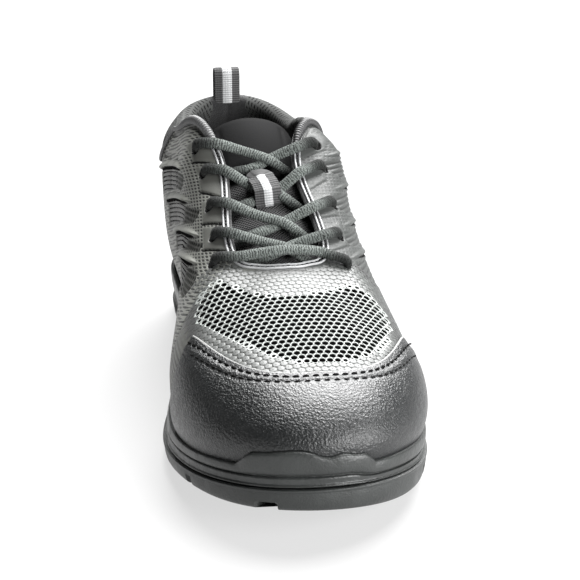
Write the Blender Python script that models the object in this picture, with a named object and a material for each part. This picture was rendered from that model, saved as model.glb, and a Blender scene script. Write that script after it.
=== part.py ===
"""Low-cut safety shoe for the left foot, at its real size in metres.

The toe points to -Y, the outer side of the foot to +X and up is +Z. The origin is on the floor, under
the middle of the outsole. Tables are in millimetres: a station is a distance from the heel's back,
"med" and "lat" are distances from the heel-to-toe line to the inner and the outer side.
"""
import bmesh
import bpy
import numpy as np
from mathutils import Vector

MM = 0.001

# Driving dimensions
LENGTH = 296 * MM           # outsole, heel to toe tip
GAP = 0.3 * MM              # between pieces that meet
TOE_SPRING = 15 * MM        # rise of the tread at the toe tip
SPRING_FROM = 200 * MM      # station where the rise starts
TIP_DROP = 1.8 * MM         # how much thicker the outsole is at the tip
TIP_SPAN = (230 * MM, 290 * MM)
ARCH_RISE = 4.5 * MM        # rise of the tread at the waist
ARCH_SPAN = (94 * MM, 150 * MM)
HEEL_BEVEL = 3 * MM         # rise of the tread at the heel's back edge
HEEL_BEVEL_SPAN = 14 * MM
OUTSOLE_THICK = 8.5 * MM
TREAD_DEPTH = 3 * MM
GROOVE_WIDTH = 4.5 * MM
RIM_UP = 4 * MM             # midsole rim over the upper's bottom edge
RIM_THICK = 2 * MM
BUMPER_UP = 6.4 * MM          # further rise of the rim over the toe
BUMPER_HALF = 27 * MM
WALL = 2.6 * MM             # outer film, mesh and lining together
VAMP_FROM = 196 * MM        # station where the upper's front piece starts
COLLAR_PAD = 8 * MM         # the same at the padded collar
PAD_SPAN = (74 * MM, 92 * MM)   # stations between which the padding ends, in front of the ankle
CAP_THICK = 1.5 * MM
CAP_LIFT = 0.7 * MM         # off the upper, which has the same facets
CAP_FRONT = 263 * MM        # station of the toe cap's edge on the centre line
CAP_SWEEP = 62 * MM         # how far that edge runs back at the sides
CAP_HALF = 49 * MM
CAP_SHIFT = 1.5 * MM        # its tip lies a little to the outer side
INSOLE_THICK = 4 * MM
LACE_HALF = (2.5 * MM, 1.8 * MM)    # half width and half thickness of the oval lace
EYELET_RADIUS = 2.5 * MM
EYELET_IN = 12.5 * MM       # hole to throat edge, along the eyestay
EYELET_STATIONS = [177.5 * MM, 162.5 * MM, 142 * MM, 121 * MM, 107.5 * MM]
LACE_SLANT = 7 * MM         # a lace crosses the throat edge this far in front of its hole's line
THROAT_CORNER = 181.5 * MM
WEBBING = 1.5 * MM
LOOP_WIDTH = 12.6 * MM
LOOP_UP = 13 * MM
LOOP_SPAN = 8 * MM
LOOP_SEAT = -1.8 * MM       # feet of the loop, under the top of the collar's roll
KEEPER_WIDTH = 12.4 * MM
KEEPER_THICK = 1.2 * MM
KEEPER_AT = 138.5 * MM
AROUND = 84                 # grid lines round the shoe
RISE = 12                   # grid lines from the bottom edge to the opening

# Outsole plan, heel to toe
SOLE_COLUMNS = ("at", "med", "lat")
SOLE_ROWS = {
    "heel_back": (0, 0, 0),
    "heel_round": (12, 23.5, 27.5),
    "heel_side": (45, 31.5, 40),
    "waist": (115, 33, 43),
    "instep": (160, 44, 48),
    "ball": (205, 54, 54.5),
    "toe_side": (244, 51, 50.5),
    "toe_corner": (274, 38.5, 38),
    "toe_round": (289.6, 23, 22),
    "toe_tip": (296, -1, -1),
}

# Sections of the last, heel to toe. A line up the upper leaves its bottom edge (at, med, lat), swells by
# "belly" at "belly_up", passes shoulder and crown, each a share of the way in to the opening's edge and
# a height, and ends at that edge (edge_at, edge_half, edge_up). Heights are over the bottom edge. Shoulder
# and crown lean out by lean_med or lean_lat.
LAST_COLUMNS = ("at", "med", "lat", "belly", "belly_up", "shoulder_in", "shoulder_up",
                "crown_in", "crown_up", "edge_at", "edge_half", "edge_up", "lean_med", "lean_lat")
LAST_ROWS = {
    "heel_back": (7, 0, 0, 5, 18, .02, 50, .05, 70, 11, 0, 84, 0, 0),
    "heel_round": (19, 22, 25.5, 5, 18, .02, 48, .05, 68, 21, 20.5, 82, 3, 0),
    "heel_side": (48, 28.5, 36, 5, 18, .02, 46, .08, 66, 47, 29.5, 80.5, 5.6, 0),
    "ankle": (80, 28.5, 38, 5, 18, .02, 48, .06, 70, 74, 28.5, 88, 4.2, 1),
    "corner": (106, 30, 39, 4, 18, .02, 54, .14, 80, 98, 22.5, 96, 2.4, 2.5),
    "top_eye": (126, 32.5, 40.5, 4, 17, .05, 54, .36, 77, 118, 16.5, 86, 1, 2),
    "mid_eye": (152, 37, 42.5, 4, 16, .08, 47, .48, 67, 146, 17.5, 74, 0, .8),
    "low_eye": (178, 42, 46, 4, 15, .08, 40, .52, 58, 170, 19.5, 65, 0, -1.2),
    "ball": (205, 47.3, 48.5, 3.5, 14, .06, 34, .48, 53, 182, 17, 60.5, 0, -2),
    "toe_side": (240, 47, 46.5, 3, 14, .06, 30, .36, 44, 185, 11, 58, 0, -1.5),
    "toe_corner": (269, 35, 34, 3, 13, .065, 24, .29, 36, 186.4, 6, 53.7, 0, 0),
    "toe_round": (283.3, 20.5, 19.5, 3, 12.4, .068, 22.7, .275, 32.5, 186.9, 2.6, 51.2, 0, 0),
    "toe_tip": (289, -1, -1, 3, 12, .07, 22, .27, 31, 187, -.5, 50, 0, 0),
}

# Height of the upper's bottom edge
FEATHER_COLUMNS = ("at", "height")
FEATHER_ROWS = {
    "heel": (0, 22.5),
    "seat": (60, 22),
    "waist": (120, 20),
    "ball": (200, 17),
    "toe_side": (250, 19.5),
    "toe_tip": (292, 27),
}

# Tongue, from its top edge to its root under the vamp: middle height, half width, fall at the sides
TONGUE_COLUMNS = ("at", "height", "half", "droop", "thick")
TONGUE_ROWS = {
    "lip": (88, 116.5, 17, 5, 4),
    "roll": (96, 113.5, 20, 7, 6.5),
    "top_eye": (118, 102, 23, 9, 5.5),
    "mid_eye": (146, 88.5, 24, 8, 4),
    "low_eye": (170, 79, 24, 7.5, 3),
    "throat": (190, 71.9, 22, 6, 2.5),
    "root": (206, 66.5, 19, 6, 2),
}


def smooth(x):
    """Step that eases from 0 to 1."""
    x = np.clip(x, 0, 1)
    return x * x * (3 - 2 * x)


def spline(knots, values, at, period=None):
    """Cubic spline through rows of values, natural at its ends or closed over a period."""
    knots = np.asarray(knots, float)
    values = np.asarray(values, float)
    if period:
        knots = np.concatenate([knots - period, knots, knots + period])
        values = np.concatenate([values, values, values])
    step = np.diff(knots)
    inner = np.arange(1, len(knots) - 1)
    system = np.eye(len(knots))
    system[inner, inner - 1] = step[:-1]
    system[inner, inner] = 2 * (step[:-1] + step[1:])
    system[inner, inner + 1] = step[1:]
    pull = np.zeros_like(values)
    pull[1:-1] = 6 * np.diff(np.diff(values, axis=0) / step[:, None], axis=0)
    bend = np.linalg.solve(system, pull)
    i = np.clip(np.searchsorted(knots, at, side="right") - 1, 0, len(step) - 1)
    a = ((knots[i + 1] - at) / step[i])[:, None]
    b = 1 - a
    curve = ((a**3 - a) * bend[i] + (b**3 - b) * bend[i + 1]) * (step[i] ** 2)[:, None] / 6
    return a * values[i] + b * values[i + 1] + curve


def table_curve(rows, column, at):
    """One column of a table as a curve over its stations, both in metres."""
    knots = np.array([row[0] for row in rows.values()]) * MM
    values = np.array([[row[column]] for row in rows.values()]) * MM
    at = np.asarray(at, float)
    return spline(knots, values, np.clip(at.ravel(), knots[0], knots[-1])).reshape(at.shape)


def feather_height(at):
    return table_curve(FEATHER_ROWS, FEATHER_COLUMNS.index("height"), at)


def spring_height(at):
    """Rise of the sole's underside towards the toe tip."""
    return TOE_SPRING * (np.maximum(at - SPRING_FROM, 0) / (LENGTH - SPRING_FROM)) ** 1.4


def tread_height(at):
    """Underside of the outsole: toe spring, arch at the waist and a bevelled heel edge."""
    share = np.clip((at - ARCH_SPAN[0]) / (ARCH_SPAN[1] - ARCH_SPAN[0]), 0, 1)
    heel = np.maximum(1 - at / HEEL_BEVEL_SPAN, 0)
    tip = smooth((at - TIP_SPAN[0]) / (TIP_SPAN[1] - TIP_SPAN[0]))
    return spring_height(at) + ARCH_RISE * np.sin(np.pi * share) ** 2 + HEEL_BEVEL * heel**2 - TIP_DROP * tip


def around_rows(rows, columns, half_columns):
    """A table's rows in turn round the shoe: heel, outer side, toe, inner side. Half widths get signs."""
    ends = ("heel_back", "toe_tip")
    out = [dict(zip(columns, row)) for row in rows.values()]
    back = [dict(zip(columns, row)) for name, row in rows.items() if name not in ends][::-1]
    for row in out:
        row["side"] = row["lat"]
    for row in back:
        row["side"] = -row["med"]
        for name in half_columns:
            row[name] = -row[name]
    return out + back


def around(rows, columns, half_columns=()):
    """Every column of a table, splined round the shoe. AROUND values, mirrored about the middle."""
    turn = around_rows(rows, columns, half_columns)
    names = ("side",) + tuple(columns)
    values = np.array([[row[name] for name in names] for row in turn])
    plan = values[:, :2]
    chord = np.linalg.norm(np.roll(plan, -1, 0) - plan, axis=1)
    knots = np.concatenate([[0], np.cumsum(chord)[:-1]])
    toe = knots[len(rows) - 1]
    share = (np.arange(AROUND // 2) + 0.5) / (AROUND // 2)
    at = np.concatenate([share * toe, toe + share * (chord.sum() - toe)])
    return dict(zip(names, spline(knots, values, at, chord.sum()).T))


def outward(plan):
    """Unit normals, in plan, of a closed ring that runs heel, outer side, toe, inner side."""
    along = np.roll(plan, -1, 0) - np.roll(plan, 1, 0)
    along /= np.linalg.norm(along, axis=1)[:, None]
    return np.stack([along[:, 1], -along[:, 0]], 1)


SOLE = around(SOLE_ROWS, SOLE_COLUMNS)
SOLE_PLAN = np.stack([SOLE["side"], SOLE["at"]], 1) * MM
SOLE_OUT = outward(SOLE_PLAN)
MIDDLE = (SOLE_PLAN.max(0) + SOLE_PLAN.min(0)) / 2


def place(plan, height):
    """Plan (side, station) and height to the shoe's frame."""
    return np.stack([plan[..., 0] - MIDDLE[0], MIDDLE[1] - plan[..., 1], height], -1)


def station(points):
    return MIDDLE[1] - points[..., 1]


def upper_sheet():
    """Outer face of the upper: a line of RISE points up from each point of its bottom edge."""
    c = around(LAST_ROWS, LAST_COLUMNS, ("edge_half",))
    foot = np.stack([c["side"], c["at"]], 1) * MM
    edge = np.stack([c["edge_half"], c["edge_at"]], 1) * MM
    out = outward(foot)
    base = feather_height(foot[:, 1])

    lean = np.where(c["side"] > 0, c["lean_lat"], c["lean_med"])

    def stop(share_in, swell, up, leaning=0.0):
        swollen = c["belly"] * swell + lean * leaning
        plan = foot + (edge - foot) * share_in[:, None] + out * (swollen * MM)[:, None]
        return place(plan, base + up * MM)

    none = np.zeros(AROUND)
    stops = np.stack([stop(none, 0, none),
                      stop(none, 1, c["belly_up"]),
                      stop(c["shoulder_in"], 0.6, c["shoulder_up"], 0.8),
                      stop(c["crown_in"], 0.2, c["crown_up"], 1.0),
                      stop(none + 1, 0, c["edge_up"])], 1)
    return np.stack([even_line(line, RISE) for line in stops])


def even_line(stops, count, power=0.7):
    """Spline through a few points, as count points at even distances."""
    chord = np.linalg.norm(np.diff(stops, axis=0), axis=1) ** power
    knots = np.concatenate([[0], np.cumsum(chord)])
    fine = spline(knots, stops, np.linspace(0, knots[-1], 240))
    run = np.concatenate([[0], np.cumsum(np.linalg.norm(np.diff(fine, axis=0), axis=1))])
    at = np.linspace(0, run[-1], count)
    return np.stack([np.interp(at, run, fine[:, k]) for k in range(3)], 1)


def sheet_normals(sheet):
    """Unit outward normals of the upper's grid, which is closed round the shoe."""
    along = np.roll(sheet, -1, 0) - np.roll(sheet, 1, 0)
    normal = np.cross(np.gradient(sheet, axis=1), along)
    return normal / np.linalg.norm(normal, axis=2)[..., None]


SHEET = upper_sheet()
NORMAL = sheet_normals(SHEET)
LINE_LENGTH = np.linalg.norm(np.diff(SHEET, axis=1), axis=2).sum(1)


def sheet_at(grid, distance):
    """Points of a grid over the upper at a distance up each line from the bottom edge."""
    share = np.clip(distance / LINE_LENGTH, 0, 1) * (RISE - 1)
    low = np.minimum(share.astype(int), RISE - 2)
    part = (share - low)[:, None]
    line = np.arange(AROUND)
    return grid[line, low] * (1 - part) + grid[line, low + 1] * part


def rim_height():
    """Distance up the upper that the midsole's rim covers, higher at the toe bumper."""
    tip = AROUND // 2 - 0.5
    step = np.linalg.norm(SHEET[AROUND // 2, 0] - SHEET[AROUND // 2 - 1, 0])
    from_tip = np.abs(np.arange(AROUND) - tip) * step
    return RIM_UP + BUMPER_UP * smooth((BUMPER_HALF - from_tip) / (7 * MM))


RIM = rim_height()


def material(name, colour, roughness, metallic=0.0):
    """Principled material with a plain colour."""
    made = bpy.data.materials.new(name)
    made.use_nodes = True
    shader = made.node_tree.nodes["Principled BSDF"]
    shader.inputs["Base Color"].default_value = (*colour, 1)
    shader.inputs["Roughness"].default_value = roughness
    shader.inputs["Metallic"].default_value = metallic
    made.diffuse_color = (*colour, 1)
    return made


def skin(name, rings, look=None, tube=False):
    """Closed solid over rings of equal length, joined last to first or capped across each end ring."""
    rings = np.asarray(rings)
    count, length = rings.shape[:2]
    k = np.arange(length)
    turn = np.roll(k, -1)
    faces = []
    for i in range(count if tube else count - 1):
        low = i * length
        high = (i + 1) % count * length
        faces += np.stack([low + k, low + turn, high + turn, high + k], 1).tolist()
    if not tube:
        half = np.arange(length // 2 - 1)
        across = np.stack([half, half + 1, length - 2 - half, length - 1 - half], 1)
        faces += across.tolist() + (across + (count - 1) * length).tolist()
    mesh = bpy.data.meshes.new(name)
    mesh.from_pydata(rings.reshape(-1, 3).tolist(), [], faces)
    shell = bmesh.new()
    shell.from_mesh(mesh)
    bmesh.ops.recalc_face_normals(shell, faces=shell.faces)
    shell.to_mesh(mesh)
    shell.free()
    mesh.shade_smooth()
    mesh.set_sharp_from_angle(angle=0.7)
    if look:
        mesh.materials.append(look)
    made = bpy.data.objects.new(name, mesh)
    bpy.context.collection.objects.link(made)
    return made


def boolean(target, cutter, operation):
    """Exact Boolean of two solids. The second one stays as a hidden guide."""
    step = target.modifiers.new(cutter.name, "BOOLEAN")
    step.operation = operation
    step.solver = "EXACT"
    step.object = cutter
    cutter.hide_render = True
    cutter.display_type = "WIRE"


def join(name, pieces):
    """One object from several, as separate bodies in one mesh."""
    shell = bmesh.new()
    for piece in pieces:
        shell.from_mesh(piece.data)
        bpy.data.objects.remove(piece)
    mesh = bpy.data.meshes.new(name)
    shell.to_mesh(mesh)
    shell.free()
    made = bpy.data.objects.new(name, mesh)
    bpy.context.collection.objects.link(made)
    return made


# Outsole: a rubber slab with chevron grooves under forefoot and heel, a notched tip and notched sides
def half_width(at):
    """Half width of the outsole at a station, the smaller of its two sides."""
    lat = table_curve(SOLE_ROWS, SOLE_COLUMNS.index("lat"), at)
    med = table_curve(SOLE_ROWS, SOLE_COLUMNS.index("med"), at)
    return np.minimum(lat, med)


def groove(at, half, chevron, width=GROOVE_WIDTH, depth=TREAD_DEPTH):
    """Prism across the tread, bent forward in its middle."""
    rings = []
    for side in (-half, 0, half):
        s = at + chevron * (1 - abs(side) / half)
        low = -6 * MM
        high = tread_height(np.array(at)) + depth
        corners = [(s - width / 2, low), (s - width / 2, high), (s + width / 2, high), (s + width / 2, low)]
        rings.append([place(np.array([side, run]), z) for run, z in corners])
    return skin("groove", rings)


def block(side, at, size, low, high):
    """Upright box in plan."""
    corners = [(-1, -1), (1, -1), (1, 1), (-1, 1)]
    plan = np.array([(side + x * size[0] / 2, at + y * size[1] / 2) for x, y in corners])
    return skin("block", [place(plan, np.full(4, z)) for z in (low, high)])


def outsole(look):
    levels = [(3.0, 0.0), (0.8, 2.0), (0.0, 6.5), (0.6, 8.5)]
    at = SOLE_PLAN[:, 1]
    low, high = tread_height(at), spring_height(at) + OUTSOLE_THICK
    rings = []
    for inset, level in levels:
        share = level * MM / OUTSOLE_THICK
        rings.append(place(SOLE_PLAN - SOLE_OUT * inset * MM, low + (high - low) * share))
    sole = skin("outsole", rings, look)
    cuts = []
    for at in np.arange(158, 262, 18) * MM:
        cuts.append(groove(at, half_width(at) - 10 * MM, 9 * MM))
    for at in np.arange(20, 90, 18) * MM:
        cuts.append(groove(at, half_width(at) - 10 * MM, -7 * MM))
    tip = tread_height(np.array(292 * MM))
    cuts.append(block(-24.5 * MM, 290.5 * MM, (8.5 * MM, 9 * MM), 0, tip + 1.8 * MM))
    for side, at in ((46.5 * MM, 257 * MM), (-48 * MM, 250 * MM), (55 * MM, 214 * MM), (-55 * MM, 209 * MM)):
        bottom = tread_height(np.array(at))
        cuts.append(block(side, at, (6 * MM, 4 * MM), bottom - 4 * MM, bottom + 4.5 * MM))
    boolean(sole, join("tread_cuts", cuts), "DIFFERENCE")
    return sole


# Midsole: a foam tray with a rim round the upper's edge, moulded band and toe bumper
def rim_ring(distance, offset):
    """Ring round the upper's outer face, pushed out in plan."""
    points = sheet_at(SHEET, distance)
    out = outward(np.stack([points[:, 0], -points[:, 1]], 1))
    points[:, 0] += out[:, 0] * offset
    points[:, 1] -= out[:, 1] * offset
    return points


def midsole(look):
    at = SOLE_PLAN[:, 1]
    low = spring_height(at) + OUTSOLE_THICK + GAP
    top = rim_ring(RIM, GAP + RIM_THICK)
    top[:, 2] -= 0.6 * MM
    foot = place(SOLE_PLAN - SOLE_OUT * 1.3 * MM, low)
    band = place(SOLE_PLAN - SOLE_OUT * 0.9 * MM, low + 1.2 * MM)
    waist = band * 0.45 + top * 0.55
    waist[:, 2] = np.minimum(waist[:, 2], low + 5 * MM)
    bed = rim_ring(np.zeros(AROUND), GAP)
    bed[:, 2] -= GAP
    inside = [rim_ring(RIM * share, 2.5 * GAP) for share in (1, 0.66, 0.33)]
    return skin("midsole", [foot, band, waist, top, *inside, bed], look)


# Upper: one hollow wall, open at the collar, the throat and underneath, with punched lace holes
def wall_thickness():
    """Thickness over the grid: the collar is padded towards its edge."""
    edge = station(SHEET[:, -1])
    padded = 1 - smooth((edge - PAD_SPAN[0]) / (PAD_SPAN[1] - PAD_SPAN[0]))
    near_edge = smooth((np.linspace(0, 1, RISE) - 0.5) / 0.35)
    return WALL + (COLLAR_PAD - WALL) * padded[:, None] * near_edge


def eyelet(index, side):
    """Place and normal of a lace hole, and the place on the throat edge that its lace crosses. index counts up
    from the throat's front, side is -1 or 1."""
    lines = np.arange(AROUND // 2) if side > 0 else np.arange(AROUND // 2, AROUND)
    edge = station(SHEET[lines, -1])
    order = np.argsort(edge)

    def between(grid, at):
        line = np.interp(at, edge[order], lines[order])
        share, rows = line - int(line), (int(line), (int(line) + 1) % AROUND)
        return grid[rows[0]] * (1 - share) + grid[rows[1]] * share

    at = EYELET_STATIONS[index]
    point, normal = [between(sheet_at(grid, LINE_LENGTH - EYELET_IN), at) for grid in (SHEET, NORMAL)]
    crossed = between(SHEET[:, -1], min(at + LACE_SLANT, THROAT_CORNER))
    return point, normal / np.linalg.norm(normal), crossed


def upper_shell(name, look):
    """The whole wall, from heel to toe, as one ring."""
    inner = SHEET - NORMAL * wall_thickness()[..., None]
    roll = (SHEET[:, -1] + inner[:, -1]) / 2
    roll[:, 2] += np.linalg.norm(SHEET[:, -1] - inner[:, -1], axis=1) * 0.35
    rings = np.concatenate([SHEET.swapaxes(0, 1), roll[None], inner.swapaxes(0, 1)[::-1]])
    return skin(name, rings, look, tube=True)


def front_space(name, start):
    """Everything in front of a station."""
    space = block(0, start + LENGTH / 4, (LENGTH / 2, LENGTH / 2), 0, LENGTH / 2)
    space.name = name
    return space


def upper(look):
    shell = upper_shell("upper", look)
    holes = []
    for index in range(len(EYELET_STATIONS)):
        for side in (-1, 1):
            point, normal, _ = eyelet(index, side)
            holes.append(cord("hole", [point - normal * 6 * MM, point + normal * 5 * MM],
                              normal, (EYELET_RADIUS, EYELET_RADIUS)))
    boolean(shell, join("lace_holes", holes), "DIFFERENCE")
    boolean(shell, front_space("vamp_space", VAMP_FROM), "DIFFERENCE")
    return shell


# Vamp: the front of the same wall, closed over the toes
def vamp(look):
    shell = upper_shell("vamp", look)
    boolean(shell, front_space("vamp_bounds", VAMP_FROM + GAP), "INTERSECT")
    return shell


# Toe cap: a skin over the upper's own face, cut to a swept edge and to the midsole's rim
def toe_cap(look):
    lines = np.flatnonzero(station(SHEET[:, 0]) > 190 * MM)
    outer, inner = [(SHEET + NORMAL * offset)[lines, :-3] for offset in (CAP_LIFT + CAP_THICK, CAP_LIFT)]
    cap = skin("toe_cap", np.concatenate([outer, inner[:, ::-1]], 1), look)
    side = np.linspace(-1.25, 1.25, 33) * CAP_HALF
    back = CAP_FRONT - CAP_SWEEP * np.abs((side - CAP_SHIFT) / CAP_HALF) ** 2.9
    plan = np.concatenate([np.stack([side, back], 1), np.stack([side, back * 0 + LENGTH + 9 * MM], 1)[::-1]])
    edge = skin("cap_edge", [place(plan, np.full(len(plan), z)) for z in (0, 0.1)])
    boolean(cap, edge, "INTERSECT")
    reach = 8 * MM
    below = np.zeros(AROUND)
    rings = [rim_ring(below, reach), rim_ring(RIM + 4 * GAP, reach),
             rim_ring(RIM + 4 * GAP, -reach), rim_ring(below, -reach)]
    for ring in (rings[0], rings[3]):
        ring[:, 2] -= reach
    boolean(cap, skin("cap_rim", rings, tube=True), "DIFFERENCE")
    return cap


# Tongue: a padded flap under the eyestays, fixed under the vamp and free at its top
def tongue_top(at, side):
    """Height of the tongue's upper face."""
    height, half, droop = [table_curve(TONGUE_ROWS, TONGUE_COLUMNS.index(name), at)
                           for name in ("height", "half", "droop")]
    return height - droop * (side / half) ** 2


def tongue(look):
    rings = []
    stops = np.array([row[0] for row in TONGUE_ROWS.values()]) * MM
    across = np.linspace(-1, 1, 11)
    for at in np.linspace(stops.max(), stops.min(), 15):
        half, thick = [table_curve(TONGUE_ROWS, TONGUE_COLUMNS.index(name), np.array(at))
                       for name in ("half", "thick")]
        plan = np.stack([across * half, np.full(across.shape, at)], 1)
        top = tongue_top(plan[:, 1], plan[:, 0])
        low = top - thick * (1 - 0.7 * across**2)
        rings.append(np.concatenate([place(plan, top), place(plan, low)[::-1]]))
    return skin("tongue", rings, look)


# Insole: a loose foam sheet on the midsole's bed, inside the upper
def insole(look):
    foot = place(np.stack([SHEET[:, 0, 0] + MIDDLE[0], station(SHEET[:, 0])], 1), SHEET[:, 0, 2])
    rings = []
    for inset, up in ((4.6, 0), (3.6, 0.8), (3.6, 3.2), (4.6, 4.0)):
        ring = rim_ring(np.zeros(AROUND), -inset * MM)
        ring[:, 2] = foot[:, 2] + up * MM / (4 * MM) * INSOLE_THICK
        rings.append(ring)
    return skin("insole", rings, look)


# Lace: an oval cord over the eyestays, a bar at the throat's front and four crossings above it
def cord(name, path, up, half, look=None, sides=8):
    """Sweep of an oval along a path, with its flat face towards up."""
    path = np.asarray(path)
    along = np.gradient(path, axis=0)
    along /= np.linalg.norm(along, axis=1)[:, None]
    up = np.broadcast_to(up, path.shape)
    if abs(np.dot(along[0], up[0])) > 0.9:
        up = np.broadcast_to(np.array(Vector(along[0]).orthogonal()), path.shape)
    across = np.cross(along, up)
    across /= np.linalg.norm(across, axis=1)[:, None]
    over = np.cross(across, along)
    angle = (np.arange(sides) + 0.5) / sides * 2 * np.pi
    rings = (path[:, None] + across[:, None] * (half[0] * np.cos(angle))[:, None]
             + over[:, None] * (half[1] * np.sin(angle))[:, None])
    return skin(name, rings, look)


def lift_over(point, normal, clear=0.5 * MM):
    """Centre of a lace that lies on a face."""
    return point + normal * (GAP + clear + LACE_HALF[1])


def on_tongue(at, side):
    """Centre of a lace that lies on the tongue."""
    plan = np.array([side, at])
    return place(plan, tongue_top(np.array(at), side) + GAP + 1.3 * MM + LACE_HALF[1])


def lace_diagonal(index, side):
    """From over the hole of the next row up on one side, across to the other side's throat edge."""
    hole, normal, edge = eyelet(index + 1, side)
    low = eyelet(index, -side)[2]
    high_at, low_at = station(edge), station(low)
    start = lift_over(hole, normal)
    over = edge + normal * (GAP + LACE_HALF[1] + 1.4 * MM)
    middle = on_tongue((high_at + low_at) / 2, 0)
    end = on_tongue(low_at - 1 * MM, -side * (abs(low[0] + MIDDLE[0]) - 4.5 * MM))
    stops = np.stack([start, over, middle, end])
    return even_line(stops, 11, power=1)


def lace_cross(index, look):
    up = np.array([0, -0.35, 0.94])
    name = f"lace_cross_{index + 1}"
    first = cord(name, lace_diagonal(index, 1), up, LACE_HALF, look)
    second = cord(name + "_under", lace_diagonal(index, -1), up, LACE_HALF)
    boolean(first, second, "UNION")
    return first


def lace_bar(look):
    holes = [eyelet(0, side) for side in (-1, 1)]
    ends = [lift_over(point, normal) for point, normal, _ in holes]
    overs = [edge + normal * (GAP + LACE_HALF[1] + 0.8 * MM) for _, normal, edge in holes]
    middle = (overs[0] + overs[1]) / 2
    path = even_line(np.stack([ends[0], overs[0], middle, overs[1], ends[1]]), 15, power=1)
    return cord("lace_bar", path, np.array([0, -0.35, 0.94]), LACE_HALF, look)


# Lace keeper: a strip of webbing over the tongue, with one crossing under it
def lace_keeper(look):
    profile = [(-12, 0), (-10.7, 0.3), (-8.6, 7.8), (0, 9), (8.6, 7.4), (10.7, 0.3), (12, 0)]
    run = np.array([p[0] for p in profile]) * MM
    lift = np.array([p[1] for p in profile]) * MM
    across = np.array([-1, -0.5, 0, 0.5, 1]) * KEEPER_WIDTH / 2
    rings = []
    for at, up in zip(KEEPER_AT + run, lift):
        plan = np.stack([across, np.full(across.shape, at)], 1)
        low = tongue_top(plan[:, 1], plan[:, 0]) + GAP + up
        rings.append(np.concatenate([place(plan, low), place(plan, low + KEEPER_THICK)[::-1]]))
    return skin("lace_keeper", rings, look)


# Pull loop: webbing folded over into a loop on top of the heel collar
def pull_loop(look):
    edge = SHEET[:, -1][[0, -1]].mean(0)
    top = edge[2] + COLLAR_PAD * 0.35
    back = station(edge) + COLLAR_PAD / 2 - LOOP_SPAN / 2
    turn = np.linspace(np.pi, 0, 9)
    outer, inner = [], []
    for reach, path in ((LOOP_SPAN / 2, outer), (LOOP_SPAN / 2 - WEBBING, inner)):
        bend = [(np.cos(a) * reach, LOOP_UP - LOOP_SPAN / 2 + np.sin(a) * reach) for a in turn]
        path += [(-reach, LOOP_SEAT)] + bend + [(reach, LOOP_SEAT)]
    centre = np.array([back + LOOP_SPAN / 2, top])
    profile = np.array(outer + inner[::-1]) + centre
    rings = []
    for side in (-LOOP_WIDTH / 2, LOOP_WIDTH / 2):
        plan = np.stack([np.full(len(profile), side), profile[:, 0]], 1)
        rings.append(place(plan, profile[:, 1]))
    return skin("pull_loop", rings, look)


for old in list(bpy.data.objects):
    bpy.data.objects.remove(old)

outsole(material("outsole_rubber", (0.018, 0.0185, 0.019), 0.6))
midsole(material("midsole_foam", (0.024, 0.0245, 0.025), 0.5))
film_look = material("upper_film", (0.115, 0.116, 0.118), 0.5)
upper(film_look)
vamp(film_look)
toe_cap(material("cap_leather", (0.010, 0.0104, 0.011), 0.36))
tongue(material("tongue_cloth", (0.012, 0.012, 0.013), 0.8))
insole(material("insole_cloth", (0.035, 0.036, 0.038), 0.9))
lace_look = material("lace_cord", (0.040, 0.041, 0.041), 0.85)
lace_bar(lace_look)
for crossing in range(len(EYELET_STATIONS) - 1):
    lace_cross(crossing, lace_look)
webbing_look = material("webbing", (0.045, 0.045, 0.046), 0.8)
lace_keeper(webbing_look)
pull_loop(webbing_look)
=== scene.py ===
"""Safety shoe for the left foot: its looks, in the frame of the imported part.

The toe points to -Y, the outer side of the foot to +X and up is +Z. Tables are in millimetres: a station
is a distance from the heel's back, a turn goes round the shoe from the heel (0) by its outer side to the
toe (1) and back by its inner side (2), and a rise is a share of the way up the upper.
"""

import bmesh
import bpy
import numpy as np
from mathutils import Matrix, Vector


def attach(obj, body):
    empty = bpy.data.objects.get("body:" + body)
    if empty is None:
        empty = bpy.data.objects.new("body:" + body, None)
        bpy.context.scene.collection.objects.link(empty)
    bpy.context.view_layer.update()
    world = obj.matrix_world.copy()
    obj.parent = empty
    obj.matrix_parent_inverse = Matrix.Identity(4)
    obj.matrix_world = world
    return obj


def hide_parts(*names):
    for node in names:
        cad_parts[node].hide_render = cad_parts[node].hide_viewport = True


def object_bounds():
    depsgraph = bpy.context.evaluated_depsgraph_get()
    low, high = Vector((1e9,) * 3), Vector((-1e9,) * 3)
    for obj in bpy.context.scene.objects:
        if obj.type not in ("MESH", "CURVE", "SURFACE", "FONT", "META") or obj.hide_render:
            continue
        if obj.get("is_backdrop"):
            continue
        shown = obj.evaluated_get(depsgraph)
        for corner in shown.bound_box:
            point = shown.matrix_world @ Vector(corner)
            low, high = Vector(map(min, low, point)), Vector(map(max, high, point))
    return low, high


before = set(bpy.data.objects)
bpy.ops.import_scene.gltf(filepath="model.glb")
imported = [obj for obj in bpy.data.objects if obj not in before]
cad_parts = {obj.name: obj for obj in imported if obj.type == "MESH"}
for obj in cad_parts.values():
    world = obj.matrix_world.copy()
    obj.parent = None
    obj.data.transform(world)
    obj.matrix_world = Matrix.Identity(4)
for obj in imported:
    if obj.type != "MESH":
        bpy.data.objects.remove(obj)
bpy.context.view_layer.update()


# Outsole
# Black rubber, moulded in one piece and cemented under the midsole. It has chevron lugs underneath, a thin
# lip round the top of its wall, and notches at the tip and along its rim.
MM = 0.001
AROUND = 800
GAP = 0.3 * MM
LENGTH, TOE_SPRING, SPRING_FROM = 296 * MM, 15 * MM, 200 * MM
TIP_DROP, TIP_FROM, TIP_TO = 1.8 * MM, 230 * MM, 290 * MM
ARCH_RISE, ARCH_FROM, ARCH_TO = 4.5 * MM, 94 * MM, 150 * MM
HEEL_BEVEL, HEEL_BEVEL_SPAN = 3 * MM, 14 * MM
OUTSOLE_THICK, TREAD_DEPTH, GROOVE_WIDTH = 8.5 * MM, 3 * MM, 4.5 * MM
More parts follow.
